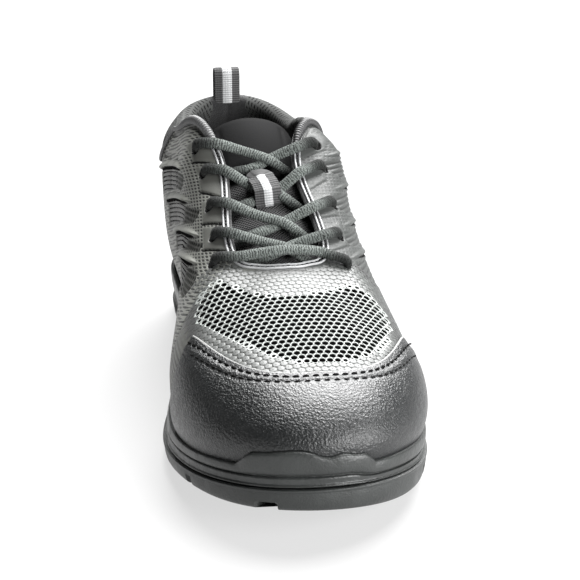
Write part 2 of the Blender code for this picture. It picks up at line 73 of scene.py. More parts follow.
SOLE_COLUMNS = ("at", "med", "lat")
SOLE_ROWS = {
    "heel_back": (0, 0, 0),
    "heel_round": (12, 23.5, 27.5),
    "heel_side": (45, 31.5, 40),
    "waist": (115, 33, 43),
    "instep": (160, 44, 48),
    "ball": (205, 54, 54.5),
    "toe_side": (244, 51, 50.5),
    "toe_corner": (274, 38.5, 38),
    "toe_round": (289.6, 23, 22),
    "toe_tip": (296, -1, -1),
}
SOLE_WALL = ((3.0, 0), (2.0, .35), (1.15, 1.1), (.6, 2.2), (.25, 3.6), (.05, 5.0), (.05, 6.4), (.1, 7.2),
             (-.3, 7.55), (-.4, 7.9), (-.3, 8.25), (.3, 8.5))                 # inset and level
NOTCHES = ((-24.5, 289, 4.3, 7, 2.6), (46.5, 257, 2, 3, 5.2), (-48, 250, 2, 3, 5.2), (55, 214, 2, 3, 5.2),
           (-55, 209, 2, 3, 5.2), (40, 45, 2, 3, 5.2), (-37, 45, 2, 3, 5.2), (42, 80, 2, 3, 5.2),
           (-36, 80, 2, 3, 5.2))                   # side, station, half width, depth and height
TIP_TWIST, TWIST_HALF, TWIST_FROM, TWIST_SPAN = 1.3 * MM, 45 * MM, 190 * MM, 60 * MM
LUGS, LUG_PITCH = ((158, 262, 9), (20, 90, -7)), 18          # first and last station, bend
TREAD_ROWS, LID_ROWS = 97, 9


def smooth(x):
    """Step that eases from 0 to 1."""
    x = np.clip(x, 0, 1)
    return x * x * (3 - 2 * x)


def spline(knots, values, at, period=None):
    """Cubic spline through rows of values, natural at its ends or closed over a period."""
    knots, values = np.asarray(knots, float), np.asarray(values, float)
    if period:
        knots = np.concatenate([knots - period, knots, knots + period])
        values = np.concatenate([values, values, values])
    step = np.diff(knots)
    inner = np.arange(1, len(knots) - 1)
    system = np.eye(len(knots))
    system[inner, inner - 1] = step[:-1]
    system[inner, inner] = 2 * (step[:-1] + step[1:])
    system[inner, inner + 1] = step[1:]
    pull = np.zeros_like(values)
    pull[1:-1] = 6 * np.diff(np.diff(values, axis=0) / step[:, None], axis=0)
    bend = np.linalg.solve(system, pull)
    i = np.clip(np.searchsorted(knots, at, side="right") - 1, 0, len(step) - 1)
    a = ((knots[i + 1] - at) / step[i])[:, None]
    b = 1 - a
    curve = ((a**3 - a) * bend[i] + (b**3 - b) * bend[i + 1]) * (step[i] ** 2)[:, None] / 6
    return a * values[i] + b * values[i + 1] + curve


def around(rows, columns, half_columns, turn):
    """Each column of a table as a closed spline round the shoe, over the distances between plan points."""
    table = [dict(zip(columns, row), side=row[2]) for row in rows.values()]
    for name, row in list(rows.items())[-2:0:-1]:
        back = dict(zip(columns, row), side=-row[1])
        table.append({key: -value if key in half_columns else value for key, value in back.items()})
    names = ("side",) + tuple(columns)
    values = np.array([[row[name] for name in names] for row in table])
    chord = np.linalg.norm(np.roll(values[:, :2], -1, 0) - values[:, :2], axis=1)
    knots = np.concatenate([[0], np.cumsum(chord)[:-1]])
    toe = knots[len(rows) - 1]
    at = np.where(turn < 1, turn * toe, toe + (turn - 1) * (chord.sum() - toe))
    return dict(zip(names, spline(knots, values, at, chord.sum()).T))


def turns(count):
    """Places round the shoe, mirrored about its middle."""
    return (np.arange(count) + 0.5) * 2 / count


def sole_plan(turn):
    """Outline of the sole, as side and station."""
    columns = around(SOLE_ROWS, SOLE_COLUMNS, (), turn)
    return np.stack([columns["side"], columns["at"]], 1) * MM


def unit(vectors):
    """The same directions, one long."""
    return vectors / np.linalg.norm(vectors, axis=-1, keepdims=True)


def outward(plan):
    """Unit normals, in plan, of a closed ring that runs heel, outer side, toe, inner side."""
    along = unit(np.roll(plan, -1, 0) - np.roll(plan, 1, 0))
    return np.stack([along[:, 1], -along[:, 0]], 1)


def place(plan, height):
    """Plan (side, station) and height to the shoe's frame."""
    return np.stack([plan[..., 0] - MIDDLE[0], MIDDLE[1] - plan[..., 1], height + 0 * plan[..., 0]], -1)


def station(points):
    """Distance of points from the heel's back."""
    return MIDDLE[1] - points[..., 1]


def spring_height(at):
    """Rise of the sole's underside towards the toe tip, as a power of the distance."""
    return TOE_SPRING * (np.maximum(at - SPRING_FROM, 0) / (LENGTH - SPRING_FROM)) ** 1.4


def tread_height(at):
    """Underside of the outsole: toe spring, sine arch at the waist, bevelled heel edge and thicker tip."""
    share = np.clip((at - ARCH_FROM) / (ARCH_TO - ARCH_FROM), 0, 1)
    heel = np.maximum(1 - at / HEEL_BEVEL_SPAN, 0)
    tip = smooth((at - TIP_FROM) / (TIP_TO - TIP_FROM))
    return spring_height(at) + ARCH_RISE * np.sin(np.pi * share) ** 2 + HEEL_BEVEL * heel**2 - TIP_DROP * tip


def quads(rows, columns, round_rows=False, round_columns=False):
    """Corner numbers of the cells of a grid whose points are numbered row by row."""
    r, c = np.meshgrid(np.arange(rows if round_rows else rows - 1),
                       np.arange(columns if round_columns else columns - 1), indexing="ij")
    above, beside = (r + 1) % rows, (c + 1) % columns
    cells = [r * columns + c, r * columns + beside, above * columns + beside, above * columns + c]
    return np.stack(cells, -1).reshape(-1, 4)


def piece(name, points, faces, looks, slot, uv=None, kind=None, marks=None, sharp=0.7, weld=False):
    """Mesh object of points and four-cornered faces, turned so that its volume is positive. uv is in metres,
    per point or per corner; kind is a look's number per face; marks are named values per point."""
    points = np.asarray(points, float).reshape(-1, 3)
    a, b, c, d = (points[faces[:, k]] for k in range(4))
    if np.sum(a * np.cross(b, c)) + np.sum(a * np.cross(c, d)) < 0:
        faces = faces[:, ::-1]
        uv = uv if uv is None or len(uv) == len(points) else uv.reshape(-1, 4, 2)[:, ::-1].reshape(-1, 2)
    mesh = bpy.data.meshes.new(name)
    mesh.from_pydata(points.tolist(), [], faces.tolist())
    for look in looks if isinstance(looks, list) else [looks]:
        mesh.materials.append(look)
    if uv is not None:
        corner = uv if len(uv) != len(points) else uv[faces.ravel()]
        mesh.uv_layers.new(name="cloth").data.foreach_set("uv", corner.astype(np.float32).ravel())
    if kind is not None:
        mesh.polygons.foreach_set("material_index", kind.astype(np.int32))
    for key, value in (marks or {}).items():
        mesh.attributes.new(key, "FLOAT", "POINT").data.foreach_set("value", value.astype(np.float32).ravel())
    if weld:
        shell = bmesh.new()
        shell.from_mesh(mesh)
        bmesh.ops.remove_doubles(shell, verts=shell.verts, dist=1e-7)
        bmesh.ops.recalc_face_normals(shell, faces=shell.faces)
        shell.to_mesh(mesh)
        shell.free()
    mesh.shade_smooth()
    mesh.set_sharp_from_angle(angle=sharp)
    made = bpy.data.objects.new(name, mesh)
    bpy.context.collection.objects.link(made)
    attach(made, "root")
    return made


def node(tree, kind, *values, out=0, **settings):
    """A shader node: values go to its sockets in turn, as links, plain values or None. Gives one output."""
    made = tree.nodes.new("ShaderNode" + kind)
    for key, value in settings.items():
        setattr(made, key, value)
    for socket, value in zip(made.inputs, values):
        if isinstance(value, bpy.types.NodeSocket):
            tree.links.new(value, socket)
        elif value is not None:
            socket.default_value = value
    return made.outputs[out]


def calc(tree, operation, *values):
    """Sum, product or the like of sockets and numbers."""
    return node(tree, "Math", *values, operation=operation)


def ramp(tree, value, low, high, first=0.0, last=1.0):
    """Straight run from first to last while a value goes from low to high, level beyond."""
    return node(tree, "MapRange", value, low, high, first, last)


def mixed(tree, share, first, second):
    """Colour between two others, each a socket or its red, green and blue."""
    ends = [(*end, 1) if isinstance(end, tuple) else end for end in (first, second)]
    return node(tree, "Mix", share, *[None] * 5, *ends, out=2, data_type="RGBA")


def grain(tree, scale, detail=2.0):
    """Noise in the shoe's own coordinates, at so many cells to the metre."""
    return node(tree, "TexNoise", node(tree, "TexCoord", out=3), None, scale, detail, 0.5)


def new_look(name, colour, roughness, **sockets):
    """Principled material. Gives it with its node tree and its shader."""
    look = bpy.data.materials.new(name)
    look.use_nodes = True
    shader = look.node_tree.nodes["Principled BSDF"]
    shader.inputs["Base Color"].default_value = (*colour, 1)
    shader.inputs["Roughness"].default_value = roughness
    for key, value in sockets.items():
        shader.inputs[key.replace("_", " ")].default_value = value
    return look, look.node_tree, shader


def relief(tree, shader, height, distance, strength=1.0):
    """Bump of so many metres."""
    made = tree.nodes.new("ShaderNodeBump")
    made.inputs["Distance"].default_value = distance
    made.inputs["Strength"].default_value = strength
    tree.links.new(height, made.inputs["Height"])
    tree.links.new(made.outputs[0], shader.inputs["Normal"])


def paint(tree, shader, colour, roughness=None):
    """Links a colour, and a roughness, to a shader."""
    tree.links.new(colour, shader.inputs["Base Color"])
    if roughness is not None:
        tree.links.new(roughness, shader.inputs["Roughness"])


coarse = sole_plan(turns(84))
MIDDLE = (coarse.max(0) + coarse.min(0)) / 2
SOLE_PLAN = sole_plan(turns(AROUND))
SOLE_OUT = outward(SOLE_PLAN)
HALF = AROUND // 2


def notched(level):
    """Depth of the notches round the wall at a level: each a soft box, gone at its height."""
    depth = np.zeros(AROUND)
    for side, at, half, deep, up in NOTCHES:
        ring = np.linalg.norm(SOLE_PLAN - np.array([side, at]) * MM, axis=1)
        away = np.linalg.norm(SOLE_PLAN - SOLE_PLAN[np.argmin(ring)], axis=1)
        depth += deep * MM * smooth((half * MM - away) / MM + 0.5) * smooth((up - level) / 0.8)
    return depth


def bridge(ring, rows):
    """Grid between the outer and the inner half of a ring, pinched at heel and toe."""
    share = np.linspace(0, 1, rows)[None, :].repeat(HALF, 0)
    share[[0, -1]] = np.round(share[[0, -1]])
    return ring[:HALF, None] * (1 - share[..., None]) + ring[HALF:][::-1][:, None] * share[..., None]


def chevron(plan, at, bend, half):
    """Groove across the tread, bent in its middle: one inside, zero outside, over a narrow wall."""
    along = np.abs(plan[..., 1] - at - bend * (1 - np.abs(plan[..., 0]) / half))
    inside = smooth((half - np.abs(plan[..., 0])) / MM)
    return smooth((GROOVE_WIDTH / 2 - along) / (0.9 * MM) + 0.5) * inside


twist = TIP_TWIST * SOLE_PLAN[:, 0] / TWIST_HALF * smooth((SOLE_PLAN[:, 1] - TWIST_FROM) / TWIST_SPAN)
low = np.maximum(tread_height(SOLE_PLAN[:, 1]) - twist, 0)
high = spring_height(SOLE_PLAN[:, 1]) + OUTSOLE_THICK
rings = np.stack([place(SOLE_PLAN - SOLE_OUT * (inset * MM + notched(level))[:, None],
                        low + (high - low) * level * MM / OUTSOLE_THICK) for inset, level in SOLE_WALL])
tread, top = bridge(rings[0], TREAD_ROWS), bridge(rings[-1], LID_ROWS)
plan = np.stack([tread[..., 0] + MIDDLE[0], station(tread)], -1)
half_width = np.minimum(SOLE_PLAN[:HALF, 0], -SOLE_PLAN[HALF:, 0][::-1])[:, None]
groove = sum(chevron(plan, at * MM, bend * MM, half_width - 10 * MM)
             for first, last, bend in LUGS for at in range(first, last, LUG_PITCH))
tread[..., 2] += TREAD_DEPTH * np.clip(groove, 0, 1)
points = np.concatenate([rings.reshape(-1, 3), tread.reshape(-1, 3), top.reshape(-1, 3)])
base = rings.shape[0] * AROUND
faces = np.concatenate([quads(len(rings), AROUND, round_columns=True), base + quads(HALF, TREAD_ROWS),
                        base + tread.size // 3 + quads(HALF, LID_ROWS)])
rubber, tree, shader = new_look("outsole_rubber", (0.020, 0.021, 0.022), 0.55)
worn = grain(tree, 90, 3)
paint(tree, shader, mixed(tree, worn, (0.0096, 0.0106, 0.0103), (0.0325, 0.0357, 0.0345)),
      ramp(tree, worn, 0.3, 0.7, 0.34, 0.56))
relief(tree, shader, calc(tree, "ADD", grain(tree, 1300, 3), grain(tree, 350, 2)), 0.22 * MM, 0.8)
outsole = piece("outsole", points, faces, rubber, "outsole_rubber", weld=True)
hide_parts("outsole")


# Midsole
# Dark grey foam, moulded round the upper's edge: a lower band, a groove, and a rounded rim that rises into a
# bumper over the toe. The rim follows the upper, so the sections of the last are here.
RISE = 160
BAND, BAND_DIP, RIM_THICK = 4.2 * MM, 1.8 * MM, 2 * MM       # the band is lower at the toe's outer side
RIM_UP, RIM_GROWTH, BUMPER, BUMPER_DROP = 4.4, 1.2, 5.9, 1.5
BUMPER_INNER, BUMPER_OUTER = -31, 17.6                       # sides between which the rim rises
BUMPER_WAVES = ((1.2, -11, 9), (-1.8, -0.5, 4.5))            # height, side and width
LAST_COLUMNS = ("at", "med", "lat", "belly", "belly_up", "shoulder_in", "shoulder_up",
                "crown_in", "crown_up", "edge_at", "edge_half", "edge_up", "lean_med", "lean_lat")
LAST_ROWS = {
    "heel_back": (7, 0, 0, 5, 18, .02, 50, .05, 70, 11, 0, 84, 0, 0),
    "heel_round": (19, 22, 25.5, 5, 18, .02, 48, .05, 68, 21, 20.5, 82, 3, 0),
    "heel_side": (48, 28.5, 36, 5, 18, .02, 46, .08, 66, 47, 29.5, 80.5, 5.6, 0),
    "ankle": (80, 28.5, 38, 5, 18, .02, 48, .06, 70, 74, 28.5, 88, 4.2, 1),
    "corner": (106, 30, 39, 4, 18, .02, 54, .14, 80, 98, 22.5, 96, 2.4, 2.5),
    "top_eye": (126, 32.5, 40.5, 4, 17, .05, 54, .36, 77, 118, 16.5, 86, 1, 2),
    "mid_eye": (152, 37, 42.5, 4, 16, .08, 47, .48, 67, 146, 17.5, 74, 0, .8),
    "low_eye": (178, 42, 46, 4, 15, .08, 40, .52, 58, 170, 19.5, 65, 0, -1.2),
    "ball": (205, 47.3, 48.5, 3.5, 14, .06, 34, .48, 53, 182, 17, 60.5, 0, -2),
    "toe_side": (240, 47, 46.5, 3, 14, .06, 30, .36, 44, 185, 11, 58, 0, -1.5),
    "toe_corner": (269, 35, 34, 3, 13, .065, 24, .29, 36, 186.4, 6, 53.7, 0, 0),
    "toe_round": (283.3, 20.5, 19.5, 3, 12.4, .068, 22.7, .275, 32.5, 186.9, 2.6, 51.2, 0, 0),
    "toe_tip": (289, -1, -1, 3, 12, .07, 22, .27, 31, 187, -.5, 50, 0, 0),
}
CORNER_DROP, CORNER_AT, CORNER_SPAN = 2.6, 92, 12            # the outer top corner lies lower and wider
FEATHER = ((0, 22.5), (60, 22), (120, 20), (200, 17), (250, 19.5), (292, 27))    # station, height of foot
RIM_WALL = ((0, -.3), (.05, .2), (.13, .45), (.21, .35), (.27, -.1), (.35, -.2), (.55, -.15), (.75, -.1),
            (.86, -.1), (.93, -.5), (.98, -1.1), (1.02, -1.1), (1.06, -.5), (1.12, .1), (1.22, .5),
            (1.36, .75), (1.52, .85), (1.68, .85), (1.8, .8), (1.9, .7), (1.965, .45),
            (2, -.15))                             # way from band to rim, and swell


def bell(x):
    """Bell curve, one at 0 and gone by 2.5."""
    return np.exp(-x * x)


def feather_height(at):
    """Height of the upper's foot over stations, as a spline."""
    table = np.array(FEATHER) * MM
    return spline(table[:, 0], table[:, 1:], np.clip(at, 0, table[-1, 0]))[:, 0]


def run_along(path, power=1.0):
    """Distance along a path at each of its points, with each step raised to a power."""
    return np.concatenate([[0], np.cumsum(np.linalg.norm(np.diff(path, axis=0), axis=1) ** power)])


def read_along(at, run, values):
    """Rows of values between those known along a run."""
    return np.stack([np.interp(at, run, column) for column in values.T], -1)


def even_line(stops, shares):
    """Spline through a few points, read at shares of its length."""
    knots = run_along(stops, 0.7)
    fine = spline(knots, stops, np.linspace(0, knots[-1], 240))
    run = run_along(fine)
    return read_along(shares * run[-1], run, fine)


def upper_lines(turn, shares):
    """Outer face of the upper: from each place of its foot a spline over belly, shoulder and crown to the
    edge of the opening. shares are the rises to read, for all lines or one row for each."""
    c = around(LAST_ROWS, LAST_COLUMNS, ("edge_half",), turn)
    near = [around(LAST_ROWS, LAST_COLUMNS, ("edge_half",), (turn + step) % 2) for step in (-0.004, 0.004)]
    along = unit(np.stack([near[1][k] - near[0][k] for k in ("side", "at")], 1))
    out = np.stack([along[:, 1], -along[:, 0]], 1)
    foot = np.stack([c["side"], c["at"]], 1) * MM
    corner = CORNER_DROP * bell((c["edge_at"] - CORNER_AT) / CORNER_SPAN) * (c["side"] > 0)
    edge = np.stack([c["edge_half"], c["edge_at"]], 1) * MM + out * corner[:, None] * MM
    height = feather_height(foot[:, 1])
    lean = np.where(c["side"] > 0, c["lean_lat"], c["lean_med"])

    def stop(share_in, swell, up, leaning=0.0):
        """One stop of every line: a share of the way in to the edge, pushed out by swell and lean."""
        swollen = out * ((c["belly"] * swell + lean * leaning) * MM)[:, None]
        return place(foot + (edge - foot) * np.reshape(share_in, (-1, 1)) + swollen, height + up * MM)

    stops = np.stack([
        stop(0, 0, 0), stop(0, 1, c["belly_up"]), stop(c["shoulder_in"], 0.6, c["shoulder_up"], 0.8),
        stop(c["crown_in"], 0.2, c["crown_up"], 1.0), stop(1, 0, c["edge_up"] - corner)], 1)
    shares = np.broadcast_to(shares, (len(turn), np.shape(shares)[-1]))
    return np.stack([even_line(line, row) for line, row in zip(stops, shares)])


def sheet_normals(sheet, closed=True):
    """Unit outward normals of a grid of lines up the upper."""
    along = np.roll(sheet, -1, 0) - np.roll(sheet, 1, 0) if closed else np.gradient(sheet, axis=0)
    return unit(np.cross(np.gradient(sheet, axis=1), along))


SHEET = upper_lines(turns(AROUND), np.linspace(0, 1, RISE))
NORMAL = sheet_normals(SHEET)
RUN = np.linalg.norm(np.diff(SHEET, axis=1), axis=2).sum(1)


def on_grid(grid, turn, rise):
    """Value of a grid over the upper, between its points."""
    turn, rise = np.broadcast_arrays(turn, rise)
    i = (turn * AROUND / 2 - 0.5) % AROUND
    j = np.clip(rise, 0, 1) * (RISE - 1)
    i0, j0 = i.astype(int) % AROUND, np.minimum(j.astype(int), RISE - 2)
    i1 = (i0 + 1) % AROUND
    a, b = (i - np.floor(i))[..., None], (j - j0)[..., None]
    return ((grid[i0, j0] * (1 - a) + grid[i1, j0] * a) * (1 - b)
            + (grid[i0, j0 + 1] * (1 - a) + grid[i1, j0 + 1] * a) * b)


def on_upper(turn, rise, lift=0.0):
    """Point over the upper's outer face, so far off it along the normal."""
    return on_grid(SHEET, turn, rise) + on_grid(NORMAL, turn, rise) * np.asarray(lift)[..., None]


def ring_out(points):
    """Unit vectors out of a closed ring, level."""
    out = outward(np.stack([points[:, 0], -points[:, 1]], 1))
    return np.stack([out[:, 0], -out[:, 1], 0 * out[:, 0]], 1)


def rim_ring(distance, offset):
    """Ring at a distance up the upper, pushed out in plan."""
    points = on_upper(turns(AROUND), distance / RUN)
    return points + ring_out(points) * offset


def tube(rings):
    """Points and faces of a solid over rings of equal, even length, with a strip across each end."""
    count, length = rings.shape[:2]
    k = np.arange(length // 2 - 1)
    across = np.stack([k, k + 1, length - 2 - k, length - 1 - k], 1)
    return rings.reshape(-1, 3), np.concatenate([quads(count, length, round_columns=True), across[:, ::-1],
                                                 across + (count - 1) * length])


toe_side, toe_at = (SHEET[:, 0, 0] + MIDDLE[0]) / MM, station(SHEET[:, 0]) / MM
rising = (smooth((toe_side - BUMPER_INNER) / 6.5) * smooth((BUMPER_OUTER - toe_side) / 5.5)
          * smooth((toe_at - 255) / 8))
wave = BUMPER - BUMPER_DROP * smooth((toe_side - 3) / 8)
wave = wave + sum(tall * bell((toe_side - side) / wide) for tall, side, wide in BUMPER_WAVES)
RIM = (RIM_UP + RIM_GROWTH * smooth((toe_at - 235) / 40) + wave * rising) * MM
at = SOLE_PLAN[:, 1]
low = spring_height(at) + OUTSOLE_THICK + GAP
band = BAND - BAND_DIP * smooth((SOLE_PLAN[:, 0] - 8 * MM) / (12 * MM)) * smooth((at - 200 * MM) / (40 * MM))
foot = place(SOLE_PLAN - SOLE_OUT * 1.1 * MM, low)
top = rim_ring(RIM, GAP + RIM_THICK)
waist = foot * 0.8 + top * 0.2
waist[:, 2] = low + band
rings = []
for share, swell in RIM_WALL:
    ring = foot + (waist - foot) * share if share < 1 else waist + (top - waist) * (share - 1)
    rings.append(ring + ring_out(waist) * swell * MM)
crown = rim_ring(RIM, 3.6 * GAP)
crown[:, 2] += 0.2 * MM
bed = rim_ring(0 * RIM, GAP)
bed[:, 2] -= GAP
rings += [crown, *[rim_ring(RIM * share, 2.2 * GAP) for share in (0.95, 0.66, 0.33)], bed]
foam, tree, shader = new_look("midsole_foam", (0.035, 0.036, 0.038), 0.45)
paint(tree, shader, mixed(tree, grain(tree, 60, 3), (0.0116, 0.0126, 0.0123), (0.0385, 0.0418, 0.0405)),
      ramp(tree, grain(tree, 240, 3), 0.3, 0.7, 0.30, 0.48))
relief(tree, shader, calc(tree, "ADD", grain(tree, 1000, 3), grain(tree, 300, 2)), 0.24 * MM, 0.8)
midsole = piece("midsole", *tube(np.stack(rings)), foam, "midsole_foam", sharp=1.0)
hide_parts("midsole")


# Insole
# A loose footbed of foam with a cloth face, cut to the inside of the sole. It lies on the midsole inside the
# upper and is cupped up at its edge.
ring = rim_ring(0 * RIM, -3.6 * MM)[2::5]
count = len(ring) // 2
share = np.linspace(0, 1, 33)
outer, inner = ring[:count, None], ring[count:][::-1][:, None]
top = outer * (1 - share[:, None]) + inner * share[:, None]
below = top.copy()
top[..., 2] += 4 * MM + 2.2 * MM * np.abs(2 * share - 1) ** 4 - 0.8 * MM * (1 - np.abs(2 * share - 1) ** 2)
below[..., 2] += 0.2 * MM
points, faces = tube(np.concatenate([top, below[:, ::-1]], 1))
cloth, tree, shader = new_look("insole_cloth", (0.035, 0.036, 0.038), 0.92, Sheen_Weight=0.3)
relief(tree, shader, grain(tree, 1700, 2), 0.25 * MM, 0.7)
insole = piece("insole", points, faces, cloth, "insole_cloth")
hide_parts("insole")


# Upper
# A film fused to mesh and drawn down into the midsole, open at the throat and collar, with a black mesh behind
# the vamp's net. Behind, a padded cloth collar is sewn on above a roped seam. Inside, a black plush lining has
# a seam at the heel.
WALL, COLLAR_PAD, PAD_FROM, PAD_TO = 2.6 * MM, 8 * MM, 74 * MM, 92 * MM
COLLAR_FRONT, SEAM_FRONT = 97, 112          # edge stations where the collar's cloth and its seam end
HEEL_HALF = 12 * MM                         # half width of the lining that rolls over the edge at the heel
PANEL_EDGE, PANEL_FOOT = (36, 183), 14      # edge stations between which the side panels lie, and their foot
NET = ((-31.7, 192), (-17.8, 202), (-5, 209.4), (8.8, 208.6), (23, 202), (29.5, 200), (36.4, 204.8),
       (39.6, 213), (39, 222.7), (33, 238), (24.7, 249), (16, 254.6), (5, 256.5), (-6, 254.6), (-19, 244.6),
       (-30.8, 228.5), (-38, 216.7), (-39.5, 208), (-37.3, 198))      # side and station of the net's outline
LONG = run_along(SHEET[:, RISE // 2])


def net_inside(side, at):
    """Distance, in millimetres, inside the outline of the vamp's net; negative outside it. The outline is a
    closed spline; the sign comes from counting its crossings to one side."""
    corner = np.array(NET, float)
    chord = np.linalg.norm(np.roll(corner, -1, 0) - corner, axis=1)
    knots = np.concatenate([[0], np.cumsum(chord)[:-1]])
    a = spline(knots, corner, np.linspace(0, chord.sum(), 90, endpoint=False), chord.sum())
    b = np.roll(a, -1, 0)
    q = np.stack([np.ravel(side), np.ravel(at)], 1) / MM
    best, crossings = np.full(len(q), 1e9), np.zeros(len(q), int)
    for p0, p1 in zip(a, b):
        run = p1 - p0
        share = np.clip((q - p0) @ run / (run @ run), 0, 1)
        best = np.minimum(best, np.linalg.norm(q - p0 - share[:, None] * run, axis=1))
        spans = (p0[1] > q[:, 1]) != (p1[1] > q[:, 1])
        cut = p0[0] + (q[:, 1] - p0[1]) / np.where(run[1] == 0, 1, run[1]) * run[0]
        crossings += spans & (q[:, 0] < cut)
    return np.where(crossings % 2, best, -best).reshape(np.shape(side))


def line_length(turn):
    """Length, in millimetres, of the line up the upper at a turn."""
    return np.interp(turn, turns(AROUND), RUN) / MM


def rope_depth(edge_at, outer):
    """Distance of the rope seam from the collar's edge: on the edge at the corner, lower towards the heel,
    and sooner so on the outer side."""
    return 1 + 22 * np.where(outer, smooth((100 - edge_at) / 44), smooth((58 - edge_at) / 24))


def wall_thickness(edge_at, rise):
    """Wall between film and lining: the collar is padded towards its edge."""
    padded = 1 - smooth((edge_at - PAD_FROM) / (PAD_TO - PAD_FROM))
    return WALL + (COLLAR_PAD - WALL) * padded * smooth((rise - 0.5) / 0.35)


def times(tree, *values):
    """Product of two sockets or numbers."""
    return calc(tree, "MULTIPLY", *values)


def axes(tree, out):
    """The three coordinates of the piece's uv map (2) or of the shoe (3)."""
    return tuple(node(tree, "SeparateXYZ", node(tree, "TexCoord", out=out)).node.outputs)


def mark(tree, name):
    """A named value of the mesh's points."""
    return node(tree, "Attribute", out=2, attribute_name=name)


def stripes(tree, way, pitch):
    """Rounded waves from 0 to 1 along a way."""
    return calc(tree, "ABSOLUTE", calc(tree, "SINE", times(tree, way, np.pi / pitch)))


def dotted(tree, pitch):
    """Product of two sine waves over the uv map, dots and gaps by turns."""
    ways = axes(tree, 2)[:2]
    return times(tree, *[calc(tree, "SINE", times(tree, way, 2 * np.pi / pitch)) for way in ways])


half = np.concatenate([np.linspace(0.003, 0.31, 60, endpoint=False),
                       np.linspace(0.31, 0.77, 130, endpoint=False), np.linspace(0.77, 0.997, 50)])
line_turn = np.concatenate([half, 2 - half[::-1]])
rise = np.concatenate([np.linspace(0, 0.3, 24, endpoint=False), np.linspace(0.3, 1, 90)])
sheet = upper_lines(line_turn, rise)
normal = sheet_normals(sheet)
length = line_length(line_turn)[:, None]
run, depth = rise * length, (1 - rise) * length
side, at = sheet[..., 0] + MIDDLE[0], station(sheet)
edge_at = np.broadcast_to(at[:, -1:], at.shape) / MM
net = np.where(rise > 0.3, net_inside(side, at), -30)
seam_depth = rope_depth(edge_at, line_turn[:, None] < 1)
collar = smooth((seam_depth - depth) / 0.8) * smooth((COLLAR_FRONT - edge_at) / 3)
swell = np.sin(np.pi * np.clip(depth / seam_depth, 0, 1)) * collar * 1.3
seam = bell((depth - seam_depth - 1.6) / 0.7) * smooth((SEAM_FRONT - edge_at) / 4)
covered = (smooth((edge_at - PANEL_EDGE[0] - 2) / 2) * smooth((PANEL_EDGE[1] - 2 - edge_at) / 2)
           * smooth((run - PANEL_FOOT - 2) / 2) * smooth((depth - seam_depth - 1.6) / 1.0))
lift = swell - 0.5 * seam * (1 - covered) - 1.6 * covered - 1.5 * smooth((net + 1.2) / 1.4)
lift = lift * smooth(run / 6) * MM
thick = wall_thickness(edge_at[:, :1] * MM, rise)
rise_in = np.linspace(1, 0, 26)
inside = np.stack([read_along(rise_in, rise, line) for line in sheet - normal * thick[..., None]])
inside[..., 1] += 0.9 * MM * (bell(side[:, -1] / (1.3 * MM)) * (at[:, -1] < 40 * MM))[:, None]
outside = sheet + normal * lift[..., None]
middle, across = (outside[:, -1] + inside[:, 0]) / 2, (outside[:, -1] - inside[:, 0]) / 2
up = unit(sheet[:, -1] - sheet[:, -2])
bend = np.radians([30, 60, 90, 120, 150])
roll = (middle[:, None] + across[:, None] * np.cos(bend)[:, None]
        + up[:, None] * (np.linalg.norm(across, axis=1)[:, None] * 0.75 * np.sin(bend))[..., None])
rings = np.concatenate([outside, roll, inside], 1)
count, long = rings.shape[:2]
faces = quads(count, long, round_rows=True, round_columns=True)
cells = np.full((count, long), 2)
cells[:, :len(rise) - 1] = np.where((net[:, 1:] + net[:, :-1]) / 2 > -0.6, 3, 0)
cells[:, :len(rise) - 1][(collar[:, 1:] + collar[:, :-1]) / 2 > 0.5] = 1
cells[:, len(rise) - 1:len(rise) + 8][(edge_at[:, 0] < COLLAR_FRONT) & (np.abs(side[:, -1]) > HEEL_HALF)] = 1
edge = run[:, -1:]
high = np.concatenate([run, edge + np.arange(1, 6), edge * (2 - rise_in) + 6, 2 * edge + 9], 1) * MM
high = np.concatenate([high, high[:1]])
place_along = np.interp(np.append(line_turn, 2 + line_turn[0]), np.append(turns(AROUND), 2),
                        np.append(LONG, LONG[-1]))
uv = np.stack([np.broadcast_to(place_along[:, None], high.shape), high], -1)
uv = np.stack([uv[:-1, :-1], uv[:-1, 1:], uv[1:, 1:], uv[1:, :-1]], 2).reshape(-1, 2)
shade, ticks = np.zeros((count, long)), np.zeros((count, long))
shade[:, :len(rise)] = np.clip(0.7 * seam, 0, 1)
ticks[:, :len(rise)] = 1 - smooth((net + 20) / 6)
film, tree, shader = new_look("upper_film", (0.12, 0.12, 0.12), 0.5, Specular_IOR_Level=0.16)
across, above, _ = axes(tree, 2)
tick = times(tree, stripes(tree, across, 1.9 * MM), stripes(tree, above, 1.5 * MM))
shoe_side, shoe_along, shoe_up = axes(tree, 3)
ticked = mark(tree, "ticks")
tick = times(tree, ramp(tree, tick, 0.35, 0.65), ticked)
tick = times(tree, tick, ramp(tree, shoe_side, 0.020, -0.020, 0.3, 1.0))
rib = calc(tree, "POWER", stripes(tree, shoe_up, 2.3 * MM), 3.0)
low_front = times(tree, ramp(tree, shoe_along, -0.015, -0.035), ramp(tree, shoe_up, 0.056, 0.048))
rib = times(tree, rib, low_front)
dent = calc(tree, "MAXIMUM", tick, times(tree, rib, 0.9))
# Painted light: one film in a lighter copy on the inner side and a darker copy on the outer side, blended by
# side_light_share from the inner side (0) to the outer (1). The smooth parts are darkened on the inner side
# only.
inner, outer = [mixed(tree, grain(tree, 45, 3), *[(value * red, value, value * blue) for value in pair])
                for pair, red, blue in (((0.187, 0.227), 0.98, 0.91), ((0.057, 0.073), 0.955, 0.97))]
side_light_share = ramp(tree, shoe_side, -0.028, 0.012)
tone = mixed(tree, side_light_share, inner, outer)
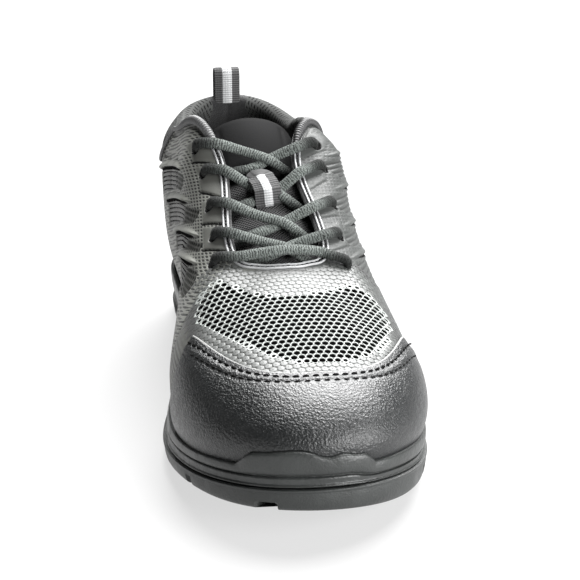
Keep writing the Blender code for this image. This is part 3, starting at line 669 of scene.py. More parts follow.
# The ridges' crests are left out of the darkened smooth parts: a painted highlight along the top of each
# ridge.
plain = calc(tree, "SUBTRACT", calc(tree, "SUBTRACT", 1.0, ticked), mark(tree, "crest_highlight"))
plain = times(tree, plain, ramp(tree, side_light_share, 0.0, 1.0, 0.5, 0.0))
tone = mixed(tree, plain, tone, (0.020, 0.020, 0.020))
tone = mixed(tree, times(tree, dent, 0.9), tone, (0.012, 0.012, 0.012))
tone = mixed(tree, mark(tree, "shade"), tone, (0.010, 0.010, 0.010))
paint(tree, shader, tone, ramp(tree, grain(tree, 700, 3), 0.3, 0.7, 0.38, 0.54))
fibre = times(tree, grain(tree, 1600), 0.2)
relief(tree, shader, calc(tree, "SUBTRACT", fibre, dent), 0.28 * MM, 0.8)
collar_look, tree, shader = new_look("collar_cloth", (0.04, 0.04, 0.04), 0.85, Specular_IOR_Level=0.2)
dots = ramp(tree, dotted(tree, 3.4 * MM), 0.30, 0.60)
paint(tree, shader, mixed(tree, dots, (0.0715, 0.0735, 0.0715), (0.005, 0.005, 0.005)))
fibre = times(tree, grain(tree, 1500), 0.5)
relief(tree, shader, calc(tree, "SUBTRACT", fibre, dots), 0.35 * MM, 0.8)
lining, tree, shader = new_look("lining_plush", (0.016, 0.016, 0.017), 0.95, Sheen_Weight=0.3)
paint(tree, shader, mixed(tree, grain(tree, 900, 4), (0.005, 0.005, 0.0055), (0.024, 0.024, 0.025)))
relief(tree, shader, grain(tree, 1300, 4), 0.5 * MM, 0.8)
backing, tree, shader = new_look("backing_mesh", (0.004, 0.004, 0.004), 0.95, Specular_IOR_Level=0.0)
upper = piece("upper", rings, faces, [film, collar_look, lining, backing], "upper_film", uv=uv,
              kind=cells.ravel(), marks={"shade": shade, "ticks": ticks}, sharp=1.2)
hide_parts("upper", "vamp")


# Quarter panels
# A moulded film over each side of the upper, welded down along the throat: smooth tabs round the lace holes,
# and long ridges like gills that sweep back and down, each with a ribbed window under it.
PANEL_LINES, PANEL_ROWS = 350, 172
UNDER_ROWS = [PANEL_ROWS - 1, 136, 100, 68, 36, 0]           # rows of the film that its underside repeats
SLOPE = np.array([0, 0.342, 0.940])                          # the rows of ticks lie square to this
# By side, outer (1) and inner (-1): lace holes, as edge station and inset; tips of the ridges, as station and
# height; a ridge's curve, breadth, height and the depth of the gap under it; front of the window under each
# ridge; front groove of each tab, as edge station and slant.
EYELETS = {1: ((179.5, 13.4), (163, 9.8), (142, 13.6), (119.5, 14), (109, 9.5)),
           -1: ((174.5, 10.4), (160.5, 7.4), (140.5, 9.2), (119, 10.4), (104.5, 9.8))}
GILLS = {1: ((84, 106), (115.8, 102.9), (132.7, 92.1), (155.8, 82), (177.6, 74.3)),
         -1: ((76, 101), (106.2, 97.3), (128, 88), (154, 80.2), (169.6, 72.9))}
RIDGE = {1: (0.0022, 1.0, 0.7, 0.4), -1: (0.0015, 1.35, 1.7, 0.9)}
WINDOWS = {1: (80, 124, 146, 167, 189), -1: (69, 112, 142, 163, 181)}
WINDOW_LONG, WINDOW_BACK = 75, 47
TABS = {1: ((122, 1.0), (140.8, 1.06), (158, .75), (178.5, 1.0)),
        -1: ((121.9, 1.05), (142.1, 1.2), (157.8, .88), (174.5, .95))}


def side_turn(edge_at, sign):
    """Turn of the line that ends at an edge station, on the outer (1) or the inner (-1) side."""
    lines = slice(HALF) if sign > 0 else slice(None, HALF - 1, -1)
    return np.interp(np.asarray(edge_at) * MM, station(SHEET[:, -1])[lines], turns(AROUND)[lines])


def gills(sign, at, up):
    """Relief, darkness, smoothness, black gaps and crest highlights of the ridges and windows of one side. The
    gap under each ridge's lip is a painted shadow, dark and black; the windows are darkened between their
    ribs, the inner ones black in the slots; the crest highlight is a painted highlight along the top of each
    ridge. A ridge's lower lip is a parabola back from its tip. A window is the leaf between two of them,
    ribbed along and, at its front, across."""
    curve, broad, tall, gap = RIDGE[sign]
    height, dark, plain, black, crest_highlight, above = 0 * at, 0 * at, 0 * at, 0 * at, 0 * at, []
    for number, (tip, tip_up) in enumerate(GILLS[sign]):
        back = tip - at
        above.append(0.93 * (up - tip_up + 0.18 * back + curve * np.maximum(back, 0) ** 2))
        if number:
            grown = smooth((back + 2) / 7) * smooth((80 - back) / 22)
            wide, deep = broad * (0.7 + 1.4 * smooth(back / 14)), broad * (0.3 + 0.9 * smooth(back / 16))
            ridge = grown * smooth((wide - above[-1]) / wide) * smooth((above[-1] + 1.1) / 1.1)
            under = grown * smooth((-above[-1] - 0.3) / 0.5) * smooth((above[-1] + 0.6 + deep) / 0.6)
            height = height + tall * ridge - gap * under
            # crest_highlight marks the top of each ridge for a painted highlight.
            crest_highlight = np.maximum(crest_highlight, smooth(2 * ridge))
            # Painted shadow: the gap under the lip is marked dark and black.
            dark, black = np.maximum(dark, under), np.maximum(black, under)
            plain = np.maximum(plain, smooth(3 * ridge) + smooth(3 * under))
    above.append(above[-1] + 17)
    for number, front in enumerate(WINDOWS[sign]):
        below, over = -2.2 - above[number], above[number + 1] - 3.4
        ahead = front - 0.05 * (below - over) ** 2 - at
        behind = at - max(front - WINDOW_LONG, WINDOW_BACK)
        window = smooth(np.minimum.reduce([below, over, 0.5 * ahead, 0.3 * behind]) / 0.9 + 0.3)
        cut = smooth((at - front + 30) / 12)
        ribs = np.abs(np.cos(np.pi * (above[number] if sign < 0 else up - 0.16 * at) / 2.0))
        if sign < 0:
            black = np.maximum(black, window * smooth((0.34 - ribs ** 2) / 0.2) * (1 - cut))
            crossed = np.maximum(ribs, np.abs(np.cos(np.pi * (at + 0.7 * up) / 3.2))) ** 6
            ribs = 0.8 * ribs ** 2 + cut * (crossed - 0.8 * ribs ** 2)
        else:
            ribs = ribs ** 2
        height = height + window * (0.5 * ribs - 0.9)
        dark = np.maximum(dark, window * (0.95 - 0.75 * ribs if sign < 0 else 0.60 - 0.60 * ribs))
        plain = np.maximum(plain, window)
    return height, dark, np.clip(plain, 0, 1), black, crest_highlight


def tabs(sign, edge_at, depth):
    """Relief, painted shade and smoothness of the tabs, each behind a slanted groove and with a sunk lace
    hole;
    the shade is painted into the groove and into the lace hole's dent.
    """
    height, dark, plain = 0 * depth, 0 * depth, 0 * depth
    for start, slant in TABS[sign]:
        away = (edge_at - start + slant * (depth - 2.5)) / np.hypot(1, slant)
        reach = smooth((18 - depth) / 4)
        groove = bell(away / 0.5) * reach
        smooth_part = smooth(-away / 0.8) * smooth((away + 11) / 2) * smooth((15.5 - depth) / 2.5)
        cut = 0.8 if sign < 0 else 0.3
        height, dark = height - 0.6 * cut * groove + 0.22 * smooth_part, np.maximum(dark, cut * groove)
        plain = np.maximum(plain, smooth_part)
    for hole, inset in EYELETS[sign]:
        away = np.hypot(edge_at - hole, depth - inset - 0.9)
        height, dark = height - 1.3 * smooth((3.0 - away) / 1.2), np.maximum(dark, smooth((3.1 - away) / 1.0))
    return height, dark, plain


# Painted shade: a matte black without reflection, for the faces in the gaps under the ridges, the tab grooves,
# the lace holes' dents and the slots between the inner windows' ribs.
painted_shade_look, tree, shader = new_look("painted_shade_black", (0.014, 0.014, 0.014), 1.0, Specular_IOR_Level=0.0)
for name, sign in (("quarter_outer", 1), ("quarter_inner", -1)):
    line_turn = np.linspace(*np.sort(side_turn(PANEL_EDGE, sign)), PANEL_LINES)
    length = line_length(line_turn)[:, None]
    edge_at = station(on_upper(line_turn, 1.0))[:, None] / MM
    seam_depth = rope_depth(edge_at, sign > 0)
    low, high = PANEL_FOOT / length, 1 - (seam_depth + 1.2) / length
    rise = low + (high - low) * np.linspace(0, 1, PANEL_ROWS)
    sheet = upper_lines(line_turn, rise)
    normal = sheet_normals(sheet, closed=False)
    run, depth = rise * length, (1 - rise) * length
    at, up = station(sheet) / MM, sheet[..., 2] / MM
    relief_1, dark_1, plain_1, black_1, crest_highlight = gills(sign, at, up)
    relief_2, dark_2, plain_2 = tabs(sign, edge_at, depth)
    free = smooth((depth - 12.5) / 4)
    crease = bell((at - 80 - 0.30 * depth) / 2.4) + 0.8 * bell((at - 66 - 0.2 * depth) / 2.6)
    seam = bell((depth - seam_depth - 3.0) / 0.8) * smooth((SEAM_FRONT - edge_at) / 4)
    inset = np.minimum(edge_at - PANEL_EDGE[0], PANEL_EDGE[1] - edge_at)
    border = smooth(np.minimum(inset, run - PANEL_FOOT) / 2)
    lift = 0.15 + relief_1 * free + relief_2 - 0.5 * crease * free * smooth((46 - depth) / 14) - 0.5 * seam
    lift = (lift * border - 0.4 * (1 - border)) * MM
    below = (sheet - normal * (0.4 + 1.1 * border[..., None]) * MM)[:, UNDER_ROWS]
    # shade carries the painted shade of gills() and tabs() and also darkens the seam line; faces whose black
    # is over a half take the painted-shade black; crest_highlight carries the painted highlight.
    marks = {"shade": np.clip(np.maximum(dark_1 * free, dark_2) + 0.75 * seam, 0, 1),
             "ticks": 1 - np.maximum(plain_1 * free, plain_2), "crest_highlight": crest_highlight * free,
             "black": np.maximum(black_1 * free, dark_2)}
    marks = {key: np.concatenate([value, 0 * below[..., 0]], 1) for key, value in marks.items()}
    black = marks.pop("black")
    spread = 90 * (1 - np.exp(-depth / 90))
    uv = np.stack([np.concatenate([spread, spread[:, UNDER_ROWS]], 1) * MM,
                   np.concatenate([sheet, below], 1) @ SLOPE], -1)
    points, faces = tube(np.concatenate([sheet + normal * lift[..., None], below], 1))
    piece(name, points, faces, [film, painted_shade_look], "upper_film", uv=uv.reshape(-1, 2),
          kind=black.ravel()[faces].mean(1) > 0.5, marks=marks, sharp=1.2)


# Vamp net
# The front of the film is a honeycomb: open cells with thin strands in a window over the toes' joints, and
# round it closed cells like fish scales, which fade into the plain film at the sides.
CELL, STRAND = 3.1 * MM, 0.50 * MM
NET_FROM, NET_ROWS, NET_SIDE = 182 * MM, 31, 15              # first station, rows, cells to either side
PIPING_ROOM, THROAT_FRONT, THROAT_HALF = 2.2 * MM, 188 * MM, 17 * MM
CAP_FRONT, CAP_SWEEP, CAP_HALF, CAP_SHIFT, CAP_POWER = 263 * MM, 62 * MM, 49 * MM, 1.5 * MM, 2.9


def cap_edge(side):
    """Station of the toe cap's back edge: a power curve that runs back at both sides."""
    return CAP_FRONT - CAP_SWEEP * np.abs((side - CAP_SHIFT) / CAP_HALF) ** CAP_POWER


def plan_cross(a, b):
    """Cross product of vectors in plan."""
    return a[..., 0] * b[..., 1] - a[..., 1] * b[..., 0]


def repeated(faces, count, size):
    """Corner numbers of so many solids alike, each of size points."""
    return (faces + (np.arange(count) * size)[:, None, None]).reshape(-1, 4)


def find_upper(side, at, turn=None, rise=None):
    """Turn and rise of the upper over places in plan: nearest point of a coarse grid, then Newton steps."""
    goal = place(np.stack([side, at], -1), 0.0)[..., :2]
    if turn is None:
        i, j = np.meshgrid(np.arange(200, 600, 6), np.arange(50, RISE, 5), indexing="ij")
        known = SHEET[i, j][..., :2].reshape(-1, 2)
        best = np.argmin(np.linalg.norm(goal[:, None] - known[None], axis=2), 1)
        turn, rise = (i.ravel()[best] + 0.5) * 2 / AROUND, j.ravel()[best] / (RISE - 1)
    for _ in range(7):
        here, by_turn, by_rise = [on_upper(turn + a, rise + b)[..., :2]
                                  for a, b in ((0, 0), (0.002, 0), (0, -0.004))]
        t, r, miss = (by_turn - here) / 0.002, (by_rise - here) / -0.004, goal - here
        turn = turn + np.clip(plan_cross(miss, r) / plan_cross(t, r), -0.04, 0.04)
        rise = np.clip(rise + np.clip(plan_cross(t, miss) / plan_cross(t, r), -0.06, 0.06), 0.02, 1)
    return turn, rise


row, column = np.meshgrid(np.arange(NET_ROWS), np.arange(-NET_SIDE, NET_SIDE + 1), indexing="ij")
centre = np.stack([(column + 0.5 * (row % 2)) * CELL, NET_FROM + row * CELL * 0.866], -1).reshape(-1, 2)
throat = on_upper(turns(AROUND), 1.0)
throat = np.stack([throat[:, 0] + MIDDLE[0], station(throat)], -1)
nearest = np.linalg.norm(centre[:, None] - throat, axis=2).min(1)
net = net_inside(centre[:, 0], centre[:, 1])
fade = smooth((46 * MM - np.abs(centre[:, 0])) / (12 * MM)) * smooth((net + 21) / 10)
keep = ((centre[:, 1] < cap_edge(centre[:, 0]) + 2 * MM) & (nearest > PIPING_ROOM)
        & ((fade > 0.03) | (net > -1))
        & ((centre[:, 1] > THROAT_FRONT) | (np.abs(centre[:, 0]) > THROAT_HALF)))
centre, net, fade = centre[keep], net[keep], fade[keep]
turn, rise = find_upper(centre[:, 0], centre[:, 1])
angle = np.arange(12) * np.pi / 6 + np.pi / 6
hexagon = CELL / 2 / np.cos(angle % (np.pi / 3) - np.pi / 6)
open_cell = (net > -0.2)[:, None]
narrow = 0.55 + 0.45 * smooth((net[:, None] + 0.2) / 2.4)
hole = (CELL - STRAND) / 2 * (0.82 + 0.36 * hexagon / CELL) * narrow
scale = np.array([1, 0.82, 0.64, 0.12, 0.12, 1])[:, None] * hexagon
net_ring = np.stack([hexagon + 0 * hole, hole * 1.12, hole, hole * 0.97, hole * 0.97, hexagon + 0 * hole], 1)
radius = np.where(open_cell[..., None], net_ring, scale)
bump = np.array([0.03, 0.14, 0.19, 0.20, -0.85, -0.85])[:, None] + 0.12 * np.sin(angle) * scale / CELL
bump = np.where(np.array([0, 1, 1, 1, 0, 0])[:, None] > 0, 0.03 + (bump - 0.03) * fade[:, None, None], bump)
strand = np.array([0.16, 0.15, 0.0, -0.15, -0.55, -0.55])[:, None]
height = np.where(open_cell[..., None], strand, bump) * MM
side = centre[:, 0, None, None] + radius * np.cos(angle)
at = centre[:, 1, None, None] + radius * np.sin(angle)
turn, rise = find_upper(side, at, turn[:, None, None] + 0 * side, rise[:, None, None] + 0 * side)
points = on_upper(turn, rise, height)
faces = repeated(quads(6, 12, round_rows=True, round_columns=True), len(centre), 6 * 12)
# Painted shade: the walls and bottoms of the open cells' holes are darkened, and so are the valleys round the
# closed scales, less where these fade.
painted_hole_and_valley_shade = np.where(open_cell[..., None], np.array([0, 0, 0.1, 1, 1, 1])[:, None],
                  np.array([0.9, 0, 0, 0, 0, 0])[:, None] * fade[:, None, None]) + 0 * side
strands, tree, shader = new_look("net_film", (0.12, 0.12, 0.12), 0.46)
tone = mixed(tree, grain(tree, 45, 3), (0.0725, 0.0765, 0.0735), (0.092, 0.097, 0.0932))
side_light_share = ramp(tree, axes(tree, 3)[0], -0.028, 0.012)
# Painted light: cells that fade into the plain film take a lighter tone on the inner side and a darker one on
# the outer side, as the film does.
flush = mixed(tree, side_light_share, (0.068, 0.068, 0.068), (0.036, 0.036, 0.036))
tone = mixed(tree, mark(tree, "fade"), flush, tone)
# Painted highlight: the open cells' strands are painted much lighter than the scales of the same film.
tone = mixed(tree, mark(tree, "strand"), tone, (0.297, 0.315, 0.302))
paint(tree, shader, mixed(tree, mark(tree, "shade"), tone, (0.008, 0.008, 0.008)))
relief(tree, shader, grain(tree, 2200, 2), 0.08 * MM, 0.5)
piece("vamp_net", points, faces, strands, "upper_film", sharp=0.9,
      marks={"shade": painted_hole_and_valley_shade, "strand": open_cell[..., None] + 0 * side,
             "fade": fade[:, None, None] + 0 * side})


# Throat piping
# Two thin beads of silver film round the edge of the throat, sewn down with a row of dark thread that runs
# between them.
BEADS, BEAD, STITCH = (0.5, 2.7), 0.55 * MM, 1.6
PIPING_END = 106                                             # edge station where it stops, on both sides


def cross_axes(path, up):
    """Unit vectors across a path, and over it towards up."""
    along = unit(np.gradient(path, axis=0))
    across = unit(np.cross(along, up))
    return across, np.cross(across, along)


def oval(across, over, width, thick, sides):
    """Ring of points of an ellipse about each place that has these two axes."""
    angle = (np.arange(sides) + 0.5) / sides * 2 * np.pi
    wide, high = width * np.cos(angle), thick * np.sin(angle)
    return across[:, None] * wide[:, None] + over[:, None] * high[:, None]


def sweep(path, up, width, thick, sides, swell=1.0):
    """Rings of an ellipse along a path, its flat face towards up. swell scales each ring."""
    return path[:, None] + oval(*cross_axes(path, up), width, thick, sides) * np.reshape(swell, (-1, 1, 1))


def stitches(path, up, pitch, long, half):
    """Points and faces of a row of short threads along a path, each a rounded capsule of seven rings."""
    run = run_along(path)
    count = int(run[-1] / pitch)
    at = (np.arange(count) + 0.5) * run[-1] / count
    where = at[:, None] + np.array([-1, -0.85, -0.4, 0, 0.4, 0.85, 1]) * long / 2
    line, over = read_along(where, run, path), read_along(where, run, up)
    dip = np.array([0.9, 0.5, 0.1, 0, 0.1, 0.5, 0.9]) * half
    fat = np.array([0.35, 0.75, 1, 1, 1, 0.75, 0.35]) * half
    across = np.cross(unit(line[:, -1] - line[:, 0]), over[:, 3])
    centre = line - over * dip[:, None]
    rings = centre[:, :, None] + oval(across, over[:, 3], 1, 1, 6)[:, None] * fat[:, None, None]
    return rings.reshape(-1, 3), repeated(tube(rings[0])[1], count, 7 * 6)


def joined(*parts):
    """Points and faces of several solids as one."""
    start = np.cumsum([0] + [len(p.reshape(-1, 3)) for p, _ in parts])
    return (np.concatenate([p.reshape(-1, 3) for p, _ in parts]),
            np.concatenate([f + n for (_, f), n in zip(parts, start)]))


turn = np.linspace(side_turn(PIPING_END, 1), side_turn(PIPING_END, -1), 3000)
run = run_along(on_upper(turn, 1.0))
turn = np.interp(np.linspace(0, run[-1], 420), run, turn)
length = line_length(turn)
beads = []
for inset in BEADS:
    path = on_upper(turn, 1 - inset / length, 0.35 * MM)
    beads.append(tube(sweep(path, on_grid(NORMAL, turn, 1 - inset / length), BEAD, BEAD, 10)))
silver, tree, shader = new_look("piping_silver", (0.34, 0.345, 0.35), 0.34)
relief(tree, shader, grain(tree, 1800, 2), 0.06 * MM, 0.5)
piece("throat_piping", *joined(*beads), silver, "upper_film")
thread, tree, shader = new_look("thread_black", (0.012, 0.012, 0.013), 0.6)
path, up = on_upper(turn, 1 - STITCH / length, 0.28 * MM), on_grid(NORMAL, turn, 1 - STITCH / length)
piece("throat_stitches", *stitches(path, up, 2.2 * MM, 2.0 * MM, 0.5 * MM), thread, "upper_film")


# Corner rope
# A thick ribbed cord, rolled over the top corner of each quarter and sewn down. It thins out along the seam
# of the collar.
ROPE, ROPE_RIB = 2.1 * MM, 1.5 * MM
ROPE_FRONT, ROPE_BEND, ROPE_BACK = 113, 84, 11.2             # edge stations
ropes = []
for sign in (1, -1):
    edge_at = np.append(np.linspace(ROPE_FRONT, ROPE_BEND, 500), np.linspace(ROPE_BEND, ROPE_BACK, 500)[1:])
    turn = side_turn(edge_at, sign)
    length = line_length(turn)
    inset = rope_depth(edge_at, sign > 0)
    path = on_upper(turn, 1 - inset / length, 0.7 * MM)
    run = run_along(path)
    even = np.linspace(0, run[-1], 700)
    path = read_along(even, run, path)
    up = on_grid(NORMAL, np.interp(even, run, turn), 1 - np.interp(even, run, inset / length))
    fat = 0.55 + 0.45 * smooth((np.interp(even, run, edge_at) - 58) / 32) * smooth((even + MM) / (8 * MM))
    ribs = 1 + 0.09 * np.cos(2 * np.pi * even / ROPE_RIB)
    ropes.append(tube(sweep(path, up, ROPE, ROPE * 0.85, 14, fat * ribs)))
rope_look, tree, shader = new_look("rope_grey", (0.1, 0.1, 0.1), 0.5)
grey = mixed(tree, grain(tree, 60, 3), (0.085, 0.086, 0.087), (0.115, 0.116, 0.117))
# Painted light: the rope on the outer side is a darker copy of the one on the inner side.
paint(tree, shader, mixed(tree, ramp(tree, axes(tree, 3)[0], -0.01, 0.01), grey, (0.030, 0.030, 0.031)))
relief(tree, shader, grain(tree, 1500, 2), 0.1 * MM, 0.6)
piece("corner_rope", *joined(*ropes), rope_look, "upper_film")


# Toe cap
# Black pebbled leather over the toe, with a pale cut edge at its back and two rows of black stitches along
# that edge. Its lower edge goes down behind the midsole's rim.
CAP_LINES, CAP_LIFT, CAP_BACK_LIFT = 370, 2.0 * MM, 1.5 * MM
STITCH_ROWS = (2.4, 5.4)                            # distance from the back edge


def cap_distance(side, at):
    """Distance in front of the cap's back edge, in plan and square to it."""
    slope = (cap_edge(side + 0.1 * MM) - cap_edge(side - 0.1 * MM)) / (0.2 * MM)
    return (at - cap_edge(side)) / np.hypot(1, slope)


def cap_row(distance, count):
    """Turns and rises along a line at a distance in front of the cap's back edge."""
    side = np.linspace(-46.5, 46.5, 900) * MM
    slope = np.gradient(cap_edge(side), side)
    off = distance / np.hypot(1, slope)
    plan = np.stack([side - slope * off, cap_edge(side) + off], 1)
    plan = plan[(np.abs(plan[:, 0] - CAP_SHIFT) < 45.5 * MM) & (plan[:, 1] > 200 * MM)]
    turn, rise = find_upper(plan[:, 0], plan[:, 1])
    run = run_along(on_upper(turn, rise))
    at = np.linspace(0, run[-1], count)
    return np.interp(at, run, turn), np.interp(at, run, rise)


line_turn = np.linspace(0.74, 1.26, CAP_LINES)
probe = np.linspace(0, 0.75, 200)
line = upper_lines(line_turn, probe)
ahead = cap_distance(line[..., 0] + MIDDLE[0], station(line))
last = np.clip(np.cumprod(ahead > 0, axis=1).sum(1) - 1, 0, len(probe) - 2)
pick = np.arange(len(line_turn))
part = ahead[pick, last] / np.maximum(ahead[pick, last] - ahead[pick, last + 1], 1e-9)
back_rise = np.where(ahead[:, 0] > 0, probe[last] + np.clip(part, 0, 1) * (probe[1] - probe[0]), 0)
front_rise = np.interp(line_turn, turns(AROUND), (RIM + 0.3 * MM) / RUN)
keep = back_rise > front_rise + 0.004
line_turn, back_rise, front_rise = line_turn[keep], back_rise[keep], front_rise[keep]
share = np.concatenate([np.linspace(0, 0.7, 44, endpoint=False), np.linspace(0.7, 1, 62)])
rise = front_rise[:, None] + (back_rise - front_rise)[:, None] * share
sheet = upper_lines(line_turn, rise)
normal = sheet_normals(sheet, closed=False)
ahead = cap_distance(sheet[..., 0] + MIDDLE[0], station(sheet)) / MM
lift = CAP_BACK_LIFT + (CAP_LIFT - CAP_BACK_LIFT) * smooth(ahead / 8)
lift -= 0.25 * MM * bell((sheet[..., 2] - sheet[:, :1, 2]) / (3 * MM))
for row in STITCH_ROWS:
    lift -= 0.12 * MM * bell((ahead - row) / 0.55)
lift += 0.30 * MM * bell((ahead - 3.9) / 1.0)
lift += 0.25 * MM * np.sin(sheet[..., 0] * 130 + 1.2) * np.sin(sheet[..., 1] * 95) * smooth((ahead - 8) / 8)
lift *= 1 - 0.5 * smooth((0.25 - ahead) / 0.4)
under = sheet + normal * 0.35 * MM
outer = sheet + normal * lift[..., None]
points, faces = tube(np.concatenate([outer, under[:, ::-1]], 1))
leather, tree, shader = new_look("cap_leather", (0.012, 0.0125, 0.014), 0.36,
                                 Coat_Weight=0.10, Coat_Roughness=0.30)
pebble = node(tree, "TexVoronoi", node(tree, "TexCoord", out=3), None, 900, 1.0, 0.5, feature="F1")
skin = calc(tree, "ADD", times(tree, pebble, 0.9), times(tree, grain(tree, 2600, 3), 0.5))
paint(tree, shader, mixed(tree, grain(tree, 120, 3), (0.0058, 0.0064, 0.0067), (0.0135, 0.0149, 0.0153)),
      ramp(tree, grain(tree, 400, 3), 0.3, 0.7, 0.30, 0.44))
relief(tree, shader, skin, 0.34 * MM, 0.78)
toe_cap = piece("toe_cap", points, faces, leather, "cap_leather", sharp=1.0)
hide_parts("toe_cap")
edge = outer[:, -1] * 0.6 + under[:, -1] * 0.4
pale, tree, shader = new_look("cap_cut_edge", (0.34, 0.34, 0.335), 0.5)
piece("cap_cut_edge", *tube(sweep(edge, normal[:, -1], 0.42 * MM, 0.62 * MM, 8)), pale, "cap_leather")
cap_thread, tree, shader = new_look("cap_thread", (0.006, 0.006, 0.006), 0.9, Specular_IOR_Level=0.1)
rows = []
for row in STITCH_ROWS:
    turn, rise = cap_row(row * MM, 500)
    path = on_upper(turn, rise, CAP_LIFT - 0.05 * MM)
    rows.append(stitches(path, on_grid(NORMAL, turn, rise), 3.9 * MM, 2.6 * MM, 0.40 * MM))
piece("cap_stitches", *joined(*rows), cap_thread, "cap_leather")


# Tongue
# A padded cloth flap under the laces, sewn in under the vamp: fine mesh below, a smooth black pad above with
# a sewn border, and a soft rolled top edge.
PAD_END, PAD_HALF, SEWN = 127 * MM, 14.5 * MM, 0.7 * MM
TONGUE_COLUMNS = ("at", "height", "half", "droop", "thick")
TONGUE_ROWS = {
    "lip": (88, 116.5, 17, 5, 4),
    "roll": (96, 113.5, 20, 7, 6.5),
    "top_eye": (118, 102, 23, 9, 5.5),
    "mid_eye": (146, 88.5, 24, 8, 4),
    "low_eye": (170, 79, 24, 7.5, 3),
    "throat": (190, 71.9, 22, 6, 2.5),
    "root": (206, 66.5, 19, 6, 2),
}
TONGUE_FROM, TONGUE_TO = TONGUE_ROWS["lip"][0] * MM, TONGUE_ROWS["root"][0] * MM


def tongue_column(name, at):
    """One column of the tongue's table as a spline over its stations, in metres."""
    table = np.array(list(TONGUE_ROWS.values())) * MM
    column = TONGUE_COLUMNS.index(name)
    at = np.asarray(at, float)
    flat = spline(table[:, 0], table[:, column:column + 1], np.clip(at.ravel(), table[0, 0], table[-1, 0]))
    return flat[:, 0].reshape(at.shape)


def tongue_top(at, side):
    """Height of the tongue's upper face: its middle height less a parabola across."""
    return tongue_column("height", at) - tongue_column("droop", at) * (side / tongue_column("half", at)) ** 2


at = np.linspace(TONGUE_FROM, TONGUE_TO, 150)
across = np.sin(np.linspace(-1, 1, 57) * np.pi / 2)
half, thick = tongue_column("half", at)[:, None], tongue_column("thick", at)[:, None]
tip = np.sqrt(np.clip(1 - (1 - np.clip((at - TONGUE_FROM) / (5 * MM), 0, 1)) ** 2, 0.02, 1))[:, None]
plan = np.stack([across * half * (0.80 + 0.20 * tip), at[:, None] + 0 * across], -1)
top = tongue_top(plan[..., 1], plan[..., 0])
puff = 0.8 * MM * np.sin(np.pi * np.clip((at - 90 * MM) / (34 * MM), 0, 1))[:, None] * (1 - across**4)
off_middle = np.abs(plan[..., 0])
beside = smooth((PAD_END - at) / (2 * MM)) * smooth((at - TONGUE_FROM - 4 * MM) / (3 * MM))
sewn = np.maximum(bell((off_middle - PAD_HALF) / SEWN) * beside[:, None],
                  bell((at - PAD_END) / SEWN)[:, None] * (off_middle < PAD_HALF))
face = top - thick / 2 + (thick / 2 + puff) * tip - 0.5 * MM * sewn
below = top - thick / 2 - thick * (0.5 - 0.7 * across**2) * tip
edge = np.sqrt(np.clip(1 - across**8, 0, 1))
face = below + (face - below) * np.maximum(edge, 0.02)
points, faces = tube(np.concatenate([place(plan, face), place(plan, below)[:, ::-1]], 1))
uv = np.concatenate([plan, plan[:, ::-1]], 1).reshape(-1, 2)
cloth, tree, shader = new_look("tongue_cloth", (0.01, 0.01, 0.01), 0.85, Specular_IOR_Level=0.05)
mesh_part = ramp(tree, axes(tree, 2)[1], 0.126, 0.130)
weave = times(tree, dotted(tree, 1.5 * MM), mesh_part)
ground = mixed(tree, mesh_part, (0.0035, 0.0035, 0.0038), (0.075, 0.075, 0.076))
paint(tree, shader, mixed(tree, ramp(tree, weave, 0.1, 0.6), ground, (0.003, 0.003, 0.003)),
      ramp(tree, mesh_part, 0.0, 1.0, 0.7, 0.9))
fibre = times(tree, grain(tree, 1600, 3), 0.4)
relief(tree, shader, calc(tree, "ADD", times(tree, weave, -0.8), fibre), 0.25 * MM, 0.8)
tongue = piece("tongue", points, faces, cloth, "tongue_cloth", uv=uv, sharp=1.2)
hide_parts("tongue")


# Lace
# An oval braided cord, charcoal with pale flecks. A bar lies over the throat's front; above it each run comes
# out from under one eyestay, crosses the tongue, lies over the other eyestay and goes down its next hole.
LACE = (2.65 * MM, 1.9 * MM)
LACE_RIB = 1.15 * MM


def eyelet(index, side, reach=1.0):
    """Point and normal on the eyestay on the lace's way to a hole: 0 at the throat edge, which it crosses
    ahead of the hole, and 1 at the hole."""
    hole, inset = EYELETS[side][index]
    turn = side_turn(min(hole + 0.9 * inset, 182) * (1 - reach) + hole * reach, side)
    rise = 1 - inset * reach / line_length(turn)
    return on_upper(turn, rise), unit(on_grid(NORMAL, turn, rise))


def over_tongue(at, side, lift):
    """Point so far over the tongue's face."""
    return place(np.array([side, at]), tongue_top(np.array(at), side) + lift)


def down_hole(index, side):
    """Stops of a lace from over the throat edge to inside its hole, and the way its flat face looks."""
    stops, ups = [], []
    toward = unit(eyelet(index, side, 1.5)[0] - eyelet(index, side, 0.5)[0])
    for reach, lift in ((0.03, 2.7), (0.4, 2.5), (0.72, 2.6), (0.90, 1.9), (0.96, -0.6), (0.97, -3.2)):
        point, normal = eyelet(index, side, reach)
        tilt = smooth((reach - 0.74) / 0.2)
        stops.append(point + normal * lift * MM)
        ups.append(normal * (1 - tilt) + toward * tilt)
    return stops, ups


def braided(stops, ups):
    """Cord along a spline through stops, its radius a cosine wave. Gives points and faces, uv, and how near
    each point is to an end."""
    stops, ups = np.stack(stops), np.stack(ups)
    chord = run_along(stops, 0.6)
    fine = np.linspace(0, chord[-1], 600)
    path = spline(chord, stops, fine)
    run = run_along(path)
    even = np.linspace(0, run[-1], int(run[-1] / (0.3 * MM)))
    up = read_along(even, run, read_along(fine, chord, ups))
    ribs = 1 + 0.02 * np.cos(2 * np.pi * even / LACE_RIB)
    rings = sweep(read_along(even, run, path), up, *LACE, 16, ribs)
    uv = np.stack(np.broadcast_arrays(even[:, None], np.linspace(0, 1, 16)[None] * 12 * MM), -1)
    # near is how close a point is to an end; the look paints the cord darker there as shade, where it goes
    # into a hole.
    near = smooth(1 - (np.minimum(even, run[-1] - even) - 7 * MM) / (15 * MM))
    return tube(rings), uv.reshape(-1, 2), np.repeat(near, 16)


